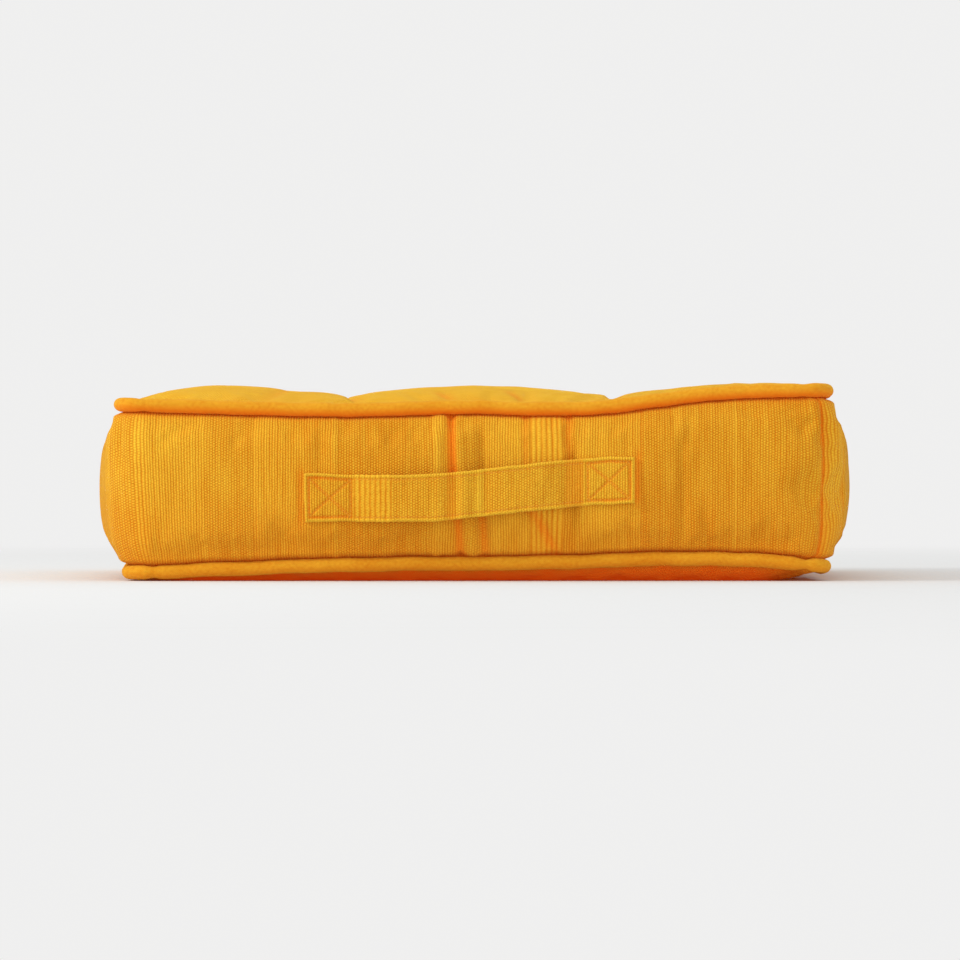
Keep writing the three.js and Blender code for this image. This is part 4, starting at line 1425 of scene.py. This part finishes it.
@dataclass
class Piping:
    """A cord in a folded strip of bias cotton, sewn into one seam."""

    sizes: Sizes
    outline: Outline
    seams: Seams
    wardrobe: Wardrobe
    edge: Edge
    stations: int = 840
    flange: float = 6 * MM
    cord_gap: float = 0.5 * MM
    nip: float = 0.13
    nip_place: float = 17 * MM
    nip_width: float = 5 * MM

    def line(self) -> tuple[np.ndarray, np.ndarray, np.ndarray, np.ndarray]:
        """The piping's middle line: the outline at the seam's height, with a slight wander.

        Returns:
            Places on the outline, points, outward directions and how much wider than level each place is.
        """
        place = np.linspace(0, self.outline.around, self.stations, endpoint=False)
        strays, swells = Seed.UPPER_WANDER, Seed.UPPER_GIRTH
        if self.edge is Edge.LOWER:
            strays, swells = Seed.LOWER_WANDER, Seed.LOWER_GIRTH
        angle = 2 * np.pi * place / self.outline.around
        wander = 0.35 * MM * ripple(strays, np.cos(angle), np.sin(angle), 0.05)
        xy, out = self.outline.at(place, wander)
        height = self.seams.height(self.edge, place)
        girth = 1 + 0.025 * ripple(swells, np.cos(angle), np.sin(angle), 0.03)
        return place, np.concatenate([xy, height[:, None]], axis=1), out, girth

    def tube(self, section: np.ndarray, grow: bool) -> np.ndarray:
        """Carries a section, given as (outward, up) points, along the piping's line.

        At each corner the tube is nipped on both sides of the turn, where the strip is clipped to go round.

        Args:
            section: the section's points.
            grow: whether it swells and is nipped, as the cover is, or stays level, as the cord does.

        Returns:
            The tube's points, stations by places round the section.
        """
        place, points, out, girth = self.line()
        side = self.sizes.side
        off = np.mod(place, side) - side / 2
        before, after = (hill(off + way * self.nip_place, self.nip_width) for way in (-1, 1))
        nip = self.nip * (before + after)
        if self.edge is Edge.LOWER:
            nip = nip * 1.4 + 0.22 * hill(place - side / 2 + 13 * MM, 3.5 * MM)
        width = (girth - nip)[:, None] if grow else np.ones((len(place), 1))
        in_seam = np.abs(section[:, 0]) > self.sizes.piping_radius
        offset = np.where(in_seam, section[:, 0], section[:, 0] * width)
        rise = section[:, 1] * width
        around = points[:, None, :].repeat(len(section), axis=1)
        around[..., :2] += out[:, None, :] * offset[..., None]
        around[..., 2] += rise
        around[..., 2] = np.maximum(around[..., 2], 0.15 * MM)
        return draw_ears(around, self.sizes)

    def cover_section(self) -> np.ndarray:
        """A keyhole: round the cord from one flange tail to the other, and back inside the cloth."""
        radius, cloth = self.sizes.piping_radius, self.sizes.cloth
        lip, slit = cloth + 0.2 * MM, 0.1 * MM
        mouth = math.asin(lip / radius)
        turn = np.linspace(np.pi - mouth, mouth - np.pi, 26)
        outer = radius * np.stack([np.cos(turn), np.sin(turn)], axis=1)
        inner = (radius - cloth) * np.stack([np.cos(turn[::-1]), np.sin(turn[::-1])], axis=1)
        tail = -(radius + self.flange)
        inner[[0, -1], 1] = [-slit, slit]
        return np.concatenate([[[tail, lip]], outer, [[tail, -lip], [tail, -slit]], inner, [[tail, slit]]])

    def build(self) -> dict[str, bpy.types.Object]:
        """Makes the piping's cover and its cord.

        Returns:
            The two pieces by name.
        """
        name = f"{self.edge.value}_piping"
        section = self.cover_section()
        points = self.tube(section, True)
        m, n = points.shape[:2]
        along = np.linspace(0, self.outline.around, m + 1)[:, None].repeat(n + 1, axis=1)
        bend = np.linalg.norm(np.diff(np.concatenate([section, section[:1]]), axis=0), axis=1)
        around = np.concatenate([[0], np.cumsum(bend)])[None, :].repeat(m + 1, axis=0)
        # Painted shade on the piping's underside and on its side tucked into the seam, a little all round,
        # and less underneath on the lower piping.
        under = np.clip(0.25 - section[:, 1] / self.sizes.piping_radius, 0, 1)
        if self.edge is Edge.LOWER:
            under = 0.35 * under
        tucked = np.clip(-section[:, 0] / self.sizes.piping_radius, 0, 1) ** 2
        crease = (0.14 + 0.8 * under + 0.3 * tucked)[None, :].repeat(m, axis=0)
        patch = Patch(points, np.stack([along, around], axis=-1), True, True, flip=True,
                      values={"crease": np.clip(crease, 0, 1)})
        cover = mesh_piece(f"{name}_cover_cloth", [patch], self.wardrobe.piping)
        settle(cover, CUSHION, f"{name}_cover")
        turn = np.linspace(0, 2 * np.pi, 12, endpoint=False)
        radius = self.sizes.piping_radius * 0.87 - self.sizes.cloth - self.cord_gap
        twist = radius * np.stack([np.cos(turn), np.sin(turn)], axis=1)
        core = Patch(self.tube(twist, False), None, True, True)
        filler = mesh_piece(f"{name}_filler", [core], self.wardrobe.cord)
        settle(filler, CUSHION, f"{name}_cord")
        return {"cover": cover, "filler": filler}


@dataclass
class Filling:
    """The inner bag of calico and the fibre that it holds, both inside the cover's own shape."""

    skin: Skin
    wardrobe: Wardrobe
    bag_inset: float = 8.0 * MM
    bag_cloth: float = 0.8 * MM
    fibre_inset: float = 11.0 * MM

    def closed_form(self, inset: float) -> Patch:
        """The skin drawn in by an inset, as one closed tube of rings that shrink to both middles.

        Each panel ring is a square ring of its grid, so the whole form is rings by places on the ring.
        """
        skin, n = self.skin, len(self.skin.lines)
        top = skin.top - grid_normals(skin.top) * inset
        bottom = skin.bottom + np.array([0, 0, inset])
        top[..., 2] = np.maximum(top[..., 2], bottom[..., 2] + 4 * MM)
        box = skin.box - grid_normals(skin.box) * inset
        panels = []
        for grid in (top, bottom):
            layers = []
            for a in range(0, n // 2, 2):
                b = n - 1 - a
                loop = np.concatenate([grid[a:b, a], grid[b, a:b], grid[b:a:-1, b], grid[a, b:a:-1]])
                share = np.linspace(0, len(loop), len(skin.ring), endpoint=False)
                layers.append(resampled(loop, share, 0, closed=True))
            layers = np.array(layers)
            layers[..., :2] *= 1 - inset / skin.sizes.panel_half
            middle = layers[-1].mean(axis=0)
            pole = middle + (layers[-1] - middle) * 0.02
            panels.append(np.concatenate([layers, pole[None]]))
        points = np.concatenate([panels[0][::-1], box[1:-1:2], panels[1]])
        return Patch(points, None, closed_second=True, capped=True)

    def build(self) -> dict[str, bpy.types.Object]:
        """Makes the inner bag and the fibre filling.

        Returns:
            The two pieces by name.
        """
        bag = mesh_piece("inner_bag_calico", [self.closed_form(self.bag_inset)], self.wardrobe.calico)
        thicken(bag, self.bag_cloth)
        settle(bag, CUSHION, "inner_bag")
        fibre = mesh_piece("fibre_wadding", [self.closed_form(self.fibre_inset)], self.wardrobe.fibre)
        settle(fibre, CUSHION, "fibre_fill")
        return {"bag": bag, "fibre": fibre}


TUFT_PLACES = (("front_left", -1, -1), ("front_right", 1, -1), ("back_left", -1, 1), ("back_right", 1, 1))


@dataclass
class Tufts:
    """Four loops of two-ply twine through the whole height of the cushion."""

    sizes: Sizes
    wardrobe: Wardrobe
    legs: float = 5 * MM
    strand: float = 0.62 * MM
    lay: float = 7 * MM
    bend: float = 2.6 * MM
    cover_depth: float = 1.3 * MM
    stations: int = 360

    def loop(self, x: float, y: float) -> tuple[np.ndarray, np.ndarray, np.ndarray]:
        """A tall loop with round corners: each side runs straight to its corner, then turns about its centre.

        Args:
            x: place of the tuft.
            y: place of the tuft.

        Returns:
            Lengths, points and outward directions in the loop's own plane.
        """
        bend = self.bend
        low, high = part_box("tuft_twine_back_right")
        bottom, top = low.z + self.cover_depth, high.z - self.cover_depth
        flat, tall = 2 * (self.legs - bend), top - bottom - 2 * bend
        arc = np.pi * bend / 2
        s = np.linspace(0, 2 * (flat + tall) + 4 * arc, self.stations, endpoint=False)
        marks = np.cumsum([0, flat, arc, tall, arc, flat, arc, tall, arc])
        part = np.searchsorted(marks, s, side="right") - 1
        side, turning = part // 2, part % 2 == 1
        t = s - marks[part]
        angle = side * np.pi / 2 + np.where(turning, t / bend, 0.0)
        short = np.where(turning, 0.0, t - np.where(side % 2 == 1, tall, flat))
        corner_x = np.array([0.5, 0.5, -0.5, -0.5])[side] * flat
        corner_z = np.array([0.5, -0.5, -0.5, 0.5])[side] * tall
        u = corner_x + bend * np.sin(angle) + short * np.cos(angle)
        w = corner_z + bend * np.cos(angle) - short * np.sin(angle)
        out = np.stack([np.sin(angle), np.zeros_like(s), np.cos(angle)], axis=1)
        return s, np.stack([x + u, y + np.zeros_like(s), (top + bottom) / 2 + w], axis=1), out

    def build(self) -> list[bpy.types.Object]:
        """Makes the four tufts, each of two strands wound round the loop's line.

        Returns:
            The pieces.
        """
        made = []
        for name, x, y in TUFT_PLACES:
            s, line, out = self.loop(x * self.sizes.tuft, y * self.sizes.tuft)
            across = np.broadcast_to([0.0, 1.0, 0.0], line.shape)
            turns = round(s[-1] / self.lay)
            wind = 2 * np.pi * turns * s / (s[1] * len(s))
            patches = []
            for half in (0.0, np.pi):
                arm = np.cos(wind + half)[:, None] * out + np.sin(wind + half)[:, None] * across
                turn = np.linspace(0, 2 * np.pi, 8, endpoint=False)[None, :, None]
                round_it = np.cos(turn) * out[:, None] + np.sin(turn) * across[:, None]
                points = (line + self.strand * arm)[:, None] + self.strand * round_it
                patches.append(Patch(points, None, True, True))
            piece = mesh_piece(f"tuft_{name}", patches, self.wardrobe.cord)
            made.append(settle(piece, CUSHION, f"tuft_twine_{name}"))
        return made


# ---- The carry strap ----


@dataclass
class CarryStrap:
    """A strap of the cover's cotton with overcast edges, sewn down by a crossed box at each end.

    coarse is where its band of coarse ribs lies, and shaded are two darker bands, with how dark each is, laid
    on in the painted-shade colour; the one before the right tab is painted shade where the strap bends in.
    """

    wardrobe: Wardrobe
    front: bpy.types.Object
    finger_gap: float = 9 * MM
    thickness: float = 2.8 * MM
    edge_bead: float = 1.5 * MM
    bead_pitch: float = 2.3 * MM
    stitch_inset: float = 4.2 * MM
    stitch_pitch: float = 3.1 * MM
    stitch_length: float = 2.3 * MM
    stitch_radius: float = 0.36 * MM
    ease: float = 38 * MM
    edge_radius: float = 1.6 * MM
    cut_gap: float = 0.3 * MM
    flare_reach: float = 12 * MM
    coarse: tuple[float, float] = (-0.1015, -0.0705)
    shaded: tuple[tuple[float, float, float], ...] = ((-0.0225, -0.0155, 0.2), (0.077, 0.0925, 0.25))

    def __post_init__(self) -> None:
        """Reads where the tabs lie and samples the boxing behind the strap."""
        left_low, left_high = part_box("handle_tab_left")
        right_low, right_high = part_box("handle_tab_right")
        self.start, self.end = left_low.x, right_high.x
        self.left_end, self.right_start = left_high.x + self.cut_gap, right_low.x - self.cut_gap
        self.width = left_high.z - left_low.z
        self.left_height = (left_high.z + left_low.z) / 2
        self.right_height = (right_high.z + right_low.z) / 2
        self.behind = self.sample_front()

    def middle(self, x: np.ndarray) -> np.ndarray:
        """Height of the strap's middle line: level from the left tab, then rising to the right one."""
        rise = self.right_height - self.left_height
        level_to, level_from = -34 * MM, self.right_start + 6 * MM
        s = np.clip((x - level_to) / (level_from - level_to), 0, 1.1)
        climb = 0.55 * s + 0.45 * s * s * (3 - 2 * s)
        return self.left_height + 0.5 * MM * np.cos(x * 40) + rise * climb

    def sample_front(self) -> tuple[np.ndarray, np.ndarray]:
        """Depth of the boxing's front face behind the strap, smoothed along it.

        Returns:
            Places along the strap, and the face's y there at five heights from its lower edge up.
        """
        shown = self.front.evaluated_get(bpy.context.evaluated_depsgraph_get())
        mesh = shown.to_mesh()
        tree = BVHTree.FromPolygons([v.co for v in mesh.vertices], [p.vertices for p in mesh.polygons])
        x = np.linspace(self.start - 2 * MM, self.end + 2 * MM, 70)
        middle = self.middle(x)
        levels = []
        for share in (-0.5, -0.25, 0.0, 0.25, 0.5):
            height = middle + share * self.width
            starts = [Vector((a, -1.0, b)) for a, b in zip(x.tolist(), height.tolist())]
            hits = np.array([tree.ray_cast(start, Vector((0, 1, 0)))[0].y for start in starts])
            eased = np.convolve(np.pad(hits, 3, mode="edge"), np.ones(7) / 7, mode="valid")
            levels.append(np.minimum(eased, hits + 0.2 * MM))
        return x, np.array(levels)

    def back_face(self, x: np.ndarray, across: np.ndarray) -> np.ndarray:
        """y of the strap's back: on the boxing at the tabs, and in a low bow off it between them.

        The bow is sin(pi s^1.12)^0.85 over the grip, with two shallow dips in it.
        """
        places, levels = self.behind
        share = np.clip(across / self.width + 0.5, 0, 1) * (len(levels) - 1)
        k = np.clip(share.astype(int), 0, len(levels) - 2)
        each = np.array([np.interp(x, places, level) for level in levels])
        rows = np.indices(x.shape)
        lower, upper = each[(k, *rows)], each[(k + 1, *rows)]
        face = lower + (upper - lower) * (share - k)
        s = np.clip((x - self.left_end) / (self.right_start - self.left_end), 0, 1)
        bow = self.finger_gap * np.sin(np.pi * s ** 1.12) ** 0.85
        tight = each.min(axis=0)
        blend = step_up(s, 0, 0.12) * (1 - step_up(s, 0.88, 1))
        dip = 1.4 * MM * hill(x + 0.0190, 4 * MM) + 0.9 * MM * hill(x - 0.0090, 3 * MM)
        return face + (tight - face) * blend - 0.5 * MM - bow + dip

    def edging(self, x: np.ndarray, across: np.ndarray) -> tuple[np.ndarray, np.ndarray]:
        """The overcast edge, whose thread winds round it at a slight slant.

        Returns:
            Each place's distance to the nearest edge, and how high it is on a turn of the thread, 0 to 1.
        """
        sideways = self.width / 2 - np.abs(across)
        endways = np.minimum(x - self.start, self.end - x)
        to_edge = np.minimum(sideways, endways)
        along = np.where(sideways < endways, x, across)
        return to_edge, 0.5 + 0.5 * np.cos(2 * np.pi * (along + 0.35 * to_edge) / self.bead_pitch)

    def relief(self, x: np.ndarray, across: np.ndarray) -> np.ndarray:
        """How far the front stands proud: overcast edges, coarse ribs and the grooves of stitching."""
        to_edge, bead = self.edging(x, across)
        edge = 0.85 * MM * hill(to_edge - self.edge_bead, 1.25 * MM) * bead
        groove = 0.35 * MM * hill(to_edge - self.edge_bead - 2.2 * MM, 0.7 * MM)
        low, high = self.coarse
        ribbed = step_up(x, low - 1 * MM, low + 1 * MM) * (1 - step_up(x, high - 1 * MM, high + 1 * MM))
        ribbed = ribbed * step_up(to_edge, 2 * MM, 4 * MM)
        ribs = 0.25 * MM * ribbed * np.cos(2 * np.pi * (x + 0.1) / (4.36 * MM))
        stripe = 0.5 * MM * hill(x - 0.004, 2.4 * MM)
        yarn = 0.12 * MM * ripple(Seed.STRAP_YARN, x, across, 0.004)
        swell = 0.3 * MM * ripple(Seed.STRAP_SWELL, x, across, 0.018)
        return edge - groove + ribs + stripe - 1.0 * MM * self.sunk(x, across) + yarn + swell

    def sunk(self, x: np.ndarray, across: np.ndarray, width: float = 1.2 * MM) -> np.ndarray:
        """How deep each place lies in the dent beside a box's stitching: a hill of the distance to it."""
        sunk = np.zeros(x.shape)
        for seam in self.box_seams():
            a, b = np.array(seam[0]), np.array(seam[1])
            way = b - a
            t = np.clip(((x - a[0]) * way[0] + (across - a[1]) * way[1]) / (way @ way), 0, 1)
            off = np.hypot(x - a[0] - t * way[0], across - a[1] - t * way[1])
            sunk = np.maximum(sunk, hill(off, width))
        return sunk

    def box_seams(self) -> list[tuple[tuple[float, float], tuple[float, float]]]:
        """The crossed boxes' stitching, as (x, across) pairs: four sides and two diagonals for each tab."""
        half = self.width / 2 - self.stitch_inset
        seams = []
        for low, high in ((self.start, self.left_end), (self.right_start, self.end)):
            outer, inner = self.stitch_inset, 1.8 * MM
            a = low + (outer if low == self.start else inner)
            b = high - (inner if low == self.start else outer)
            low_a, low_b, high_a, high_b = (a, -half), (b, -half), (a, half), (b, half)
            seams += [(low_a, low_b), (low_b, high_b), (high_b, high_a), (high_a, low_a)]
            seams += [(low_a, high_b), (high_a, low_b)]
        return seams

    def lift(self, x: np.ndarray) -> np.ndarray:
        """Share of the lift that each place along the strap takes: none at the tabs, all in mid grip."""
        rising = step_up(x, self.left_end - 1 * MM, self.left_end + self.ease)
        falling = step_up(x, self.right_start - self.ease, self.right_start + 1 * MM)
        return rising * (1 - falling)

    def rounding(self, distance: np.ndarray, least: float) -> np.ndarray:
        """A quarter circle's rise from an edge inwards over edge_radius, never under least."""
        inwards = np.clip(distance / self.edge_radius, 0, 1)
        return np.sqrt(np.clip(1 - (1 - inwards) ** 2, least, 1))

    def follow(self, piece: bpy.types.Object) -> None:
        """Bakes a piece's transform into its mesh and reads its points."""
        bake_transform(piece)
        co = np.empty(len(piece.data.vertices) * 3, np.float32)
        piece.data.vertices.foreach_get("co", co)

    def webbing(self) -> bpy.types.Object:
        """Makes the strap: a flat section whose front carries the relief and whose edges are rounded.

        The section runs across the front and back again behind, and is carried along the strap's line. The
        left end's lower corner flares out a little.

        Returns:
            The piece.
        """
        half, steps, stations = self.width / 2, 60, 470
        share = np.sin(np.linspace(-np.pi / 2, np.pi / 2, steps)) * 0.35 + np.linspace(-1, 1, steps) * 0.65
        across = np.concatenate([share, share[::-1][1:-1]]) * half
        front = np.concatenate([np.ones(steps), -np.ones(steps - 2)])
        x = np.linspace(self.start, self.end, stations)
        ends = self.rounding(np.minimum(x - self.start, self.end - x), 0.02)[:, None]
        edge = self.rounding(half - np.abs(across), 0.0)[None, :]
        x, v = np.meshgrid(x, across, indexing="ij")
        relief = self.relief(x, v) * (front > 0) * np.minimum(ends, edge)
        level = self.back_face(x, v) - self.thickness / 2
        y = level - front * self.thickness * ends * edge / 2 - relief
        outer = np.sign(v) * (np.abs(v) > 0.6 * half)
        wobble = 0.35 * MM * ripple(Seed.STRAP_EDGE, x, 0 * x, 0.02) * outer
        near_start = np.clip((self.start + self.flare_reach - x) / self.flare_reach, 0, 1) ** 2
        flare = 1.6 * MM * near_start * np.clip(-v / half, 0, 1)
        points = np.stack([x + 0.8 * flare, y, self.middle(x) + v + wobble - 0.6 * flare], axis=-1)
        to_edge, bead = self.edging(x, v)
        # Painted shade in the groove inside the overcast edges and in the dents beside the box stitching.
        crease = 0.2 * hill(to_edge - 3.9 * MM, 0.9 * MM) + 0.42 * self.sunk(x, v)
        # The painted-shade colour over the darker bands; the one before the right tab is painted shade where
        # the strap bends in.
        for low, high, deep in self.shaded:
            begun = step_up(x, low - 3 * MM, low + 2 * MM)
            crease = crease + deep * begun * (1 - step_up(x, high - 2 * MM, high + 1 * MM))
        # Painted highlight on the overcast edges, brightest on the crests of the thread's turns.
        painted_light = hill(to_edge - self.edge_bead + 0.3 * MM, 1.5 * MM) * (0.3 + 0.6 * bead)
        uv = np.stack([x, v], axis=-1)
        uv = np.concatenate([uv, uv[:, :1]], axis=1)
        values = {"crease": np.clip(crease * (front > 0), 0, 1), "painted_light": painted_light}
        patch = Patch(points, uv, closed_second=True, capped=True, values=values)
        return mesh_piece("strap_webbing", [patch], self.wardrobe.webbing)

    def stitches(self, name: str, seams: list[tuple[tuple[float, float], tuple[float, float]]],
                 lift: float) -> bpy.types.Object:
        """Makes rows of stitches on the strap's front, each a short capsule along its seam.

        Args:
            name: the piece's name.
            seams: straight rows, as pairs of (x, across) ends.
            lift: how far each stitch's middle stands off the strap's front.

        Returns:
            One piece of separate small capsules.
        """
        starts, ends = [], []
        for a, b in seams:
            a, b = np.array(a), np.array(b)
            long = np.linalg.norm(b - a)
            count = max(int(long / self.stitch_pitch), 1)
            at = (np.arange(count) + 0.5) * long / count
            way = (b - a) / long
            starts.append(a + (at - self.stitch_length / 2)[:, None] * way)
            ends.append(a + (at + self.stitch_length / 2)[:, None] * way)
        a, b = np.concatenate(starts), np.concatenate(ends)
        along = np.linspace(0, 1, 7)[None, :, None]
        line = a[:, None] + (b - a)[:, None] * along
        x, across = line[..., 0], line[..., 1]
        bend = np.sin(np.pi * along[..., 0])
        y = self.back_face(x, across) - self.thickness - self.relief(x, across) - lift
        y = y + 0.25 * MM * (1 - bend)
        middle = np.stack([x, y, self.middle(x) + across], axis=-1)
        way = np.gradient(middle, axis=1)
        way /= np.linalg.norm(way, axis=-1, keepdims=True)
        side = np.cross(way, [0.0, 1.0, 0.0])
        side /= np.linalg.norm(side, axis=-1, keepdims=True)
        up = np.cross(side, way)
        turn = np.linspace(0, 2 * np.pi, 6, endpoint=False)[None, None, :, None]
        taper = np.sqrt(np.clip(1 - (2 * along[..., 0] - 1) ** 4, 0.08, 1))
        girth = self.stitch_radius * taper[..., None, None]
        tube = middle[:, :, None] + girth * (np.cos(turn) * side[:, :, None] + np.sin(turn) * up[:, :, None])
        patches = [Patch(stitch, None, closed_second=True, capped=True) for stitch in tube]
        return mesh_piece(name, patches, self.wardrobe.thread)

    def build(self) -> list[bpy.types.Object]:
        """Makes the strap, its two crossed boxes and its two rows of topstitching.

        Returns:
            The pieces.
        """
        strap = self.webbing()
        self.follow(strap)
        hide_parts("handle_tab_left", "handle_grip", "handle_tab_right")
        log.info("%s: %d faces", strap.name, len(strap.data.polygons))
        boxes, made = self.box_seams(), [strap]
        row = self.width / 2 - self.stitch_inset
        a, b = self.left_end + 2 * MM, self.right_start - 2 * MM
        rows = (("box_stitching_left", boxes[:6], "handle_stitch_left", False),
                ("box_stitching_right", boxes[6:], "handle_stitch_right", False),
                ("topstitching_upper", [((a, row), (b, row))], "grip_stitch_upper", True),
                ("topstitching_lower", [((a, -row), (b, -row))], "grip_stitch_lower", True))
        for name, seams, node, moves in rows:
            piece = self.stitches(name, seams, 0.12 * MM)
            if moves:
                self.follow(piece)
                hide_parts(node)
                log.info("%s: %d faces", piece.name, len(piece.data.polygons))
            else:
                settle(piece, CUSHION, node)
            made.append(piece)
        return made


# ---- The studio ----


@dataclass(frozen=True)
class Lamp:
    """A square soft light that faces the cushion."""

    name: str
    place: tuple[float, float, float]
    size: float
    power: float
    colour: tuple[float, float, float]

    def hang(self) -> None:
        """Puts the light in the studio."""
        lamp = bpy.data.lights.new(self.name, "AREA")
        lamp.size, lamp.energy, lamp.color = self.size, self.power, self.colour
        holder = bpy.data.objects.new(self.name, lamp)
        bpy.context.scene.collection.objects.link(holder)
        holder.location = self.place
        towards = Vector((0, 0, 0.08)) - Vector(self.place)
        holder.rotation_euler = towards.to_track_quat("-Z", "Y").to_euler()


LAMPS = (
    Lamp("key_left", (-3.2, -1.4, 2.0), 1.2, 60.0, (1.0, 0.98, 0.95)),
    Lamp("front_fill", (-0.8, -4.5, 2.6), 3.0, 6.0, (1.0, 0.99, 0.97)),
    Lamp("low_fill", (0.3, -6.2, 0.5), 1.6, 24.0, (1.0, 0.99, 0.96)),
    Lamp("top_soft", (-0.6, 0.8, 3.2), 2.5, 5.0, (1.0, 1.0, 0.98)),
)


@dataclass
class Studio:
    """A pale floor, a pale room, soft lights, most of them from the left, and the camera."""

    room: tuple[float, float, float, float] = (0.868, 0.866, 0.863, 1.0)
    camera_height: float = 0.085
    camera_distance: float = 5.3
    camera_aside: float = 0.005
    lens: float = 222.6

    def floor(self) -> bpy.types.Object:
        """Lays the floor: a disc that fades into the room's own light away from the cushion."""
        turn = np.linspace(0, 2 * np.pi, 96, endpoint=False)
        reach = np.array([0.02, 0.3, 0.6, 1.0, 1.6, 2.4, 3.2])[:, None]
        points = np.stack([reach * np.cos(turn), reach * np.sin(turn), 0 * reach * turn], axis=-1)
        points[..., 2] -= 0.2 * MM
        graph = Graph("studio floor")
        nodes, links = graph.tree.nodes, graph.tree.links
        length = nodes.new("ShaderNodeVectorMath")
        length.operation = "LENGTH"
        links.new(graph.place(), length.inputs[0])
        share = graph.over(graph.less(length.outputs["Value"], 0.75), 1.7)
        share = graph.math("SMOOTH_MIN", graph.math("MAXIMUM", share, 0.0), 1.0, 0.2)
        paint = nodes.new("ShaderNodeBsdfDiffuse")
        grain = graph.noise(graph.place(), 60.0, 3.0)
        graph.put(paint.inputs[0], graph.mix(grain, (0.75, 0.76, 0.76, 1), (0.78, 0.785, 0.785, 1)))
        clear = nodes.new("ShaderNodeBsdfTransparent")
        both = nodes.new("ShaderNodeMixShader")
        for index, value in enumerate((share, paint.outputs[0], clear.outputs[0])):
            graph.put(both.inputs[index], value)
        links.new(both.outputs[0], graph.output.inputs[0])
        floor = mesh_piece("studio_floor", [Patch(points, None, closed_second=True)], graph.material)
        hub = bpy.data.meshes.new("studio_floor_middle")
        hub.from_pydata(points[0].tolist(), [], [list(range(len(turn)))])
        middle = bpy.data.objects.new("studio_floor_middle", hub)
        hub.materials.append(graph.material)
        bpy.context.scene.collection.objects.link(middle)
        return floor

    def build(self) -> None:
        """Sets the room, floor, lights, camera and plain view transform."""
        scene = bpy.context.scene
        world = bpy.data.worlds.new("studio")
        world.use_nodes = True
        world.node_tree.nodes["Background"].inputs[0].default_value = self.room
        scene.world = world
        scene.view_settings.view_transform = "Standard"
        self.floor()
        for lamp in LAMPS:
            lamp.hang()
        eye = bpy.data.cameras.new("camera")
        eye.lens, eye.sensor_width = self.lens, 36.0
        eye.clip_start, eye.clip_end = 0.1, 50.0
        holder = bpy.data.objects.new("camera", eye)
        holder.location = (self.camera_aside, -self.camera_distance, self.camera_height)
        holder.rotation_euler = (math.pi / 2, 0, 0)
        scene.collection.objects.link(holder)
        scene.camera = holder


def main() -> None:
    """Builds the studio and then the cushion, from the cover inwards and outwards."""
    Studio().build()
    sizes = read_sizes()
    log.info("sizes: %s", sizes)
    outline, seams = Outline(sizes), Seams(sizes)
    wardrobe = Wardrobe()
    skin = Skin(sizes, outline, seams)
    skin.fill()
    skin.draw_corners()
    cover = Cover(skin, wardrobe).build()
    for edge in Edge:
        Piping(sizes, outline, seams, wardrobe, edge).build()
    Filling(skin, wardrobe).build()
    Tufts(sizes, wardrobe).build()
    CarryStrap(wardrobe, cover["boxing_front_left"]).build()


if __name__ == "__main__":
    main()
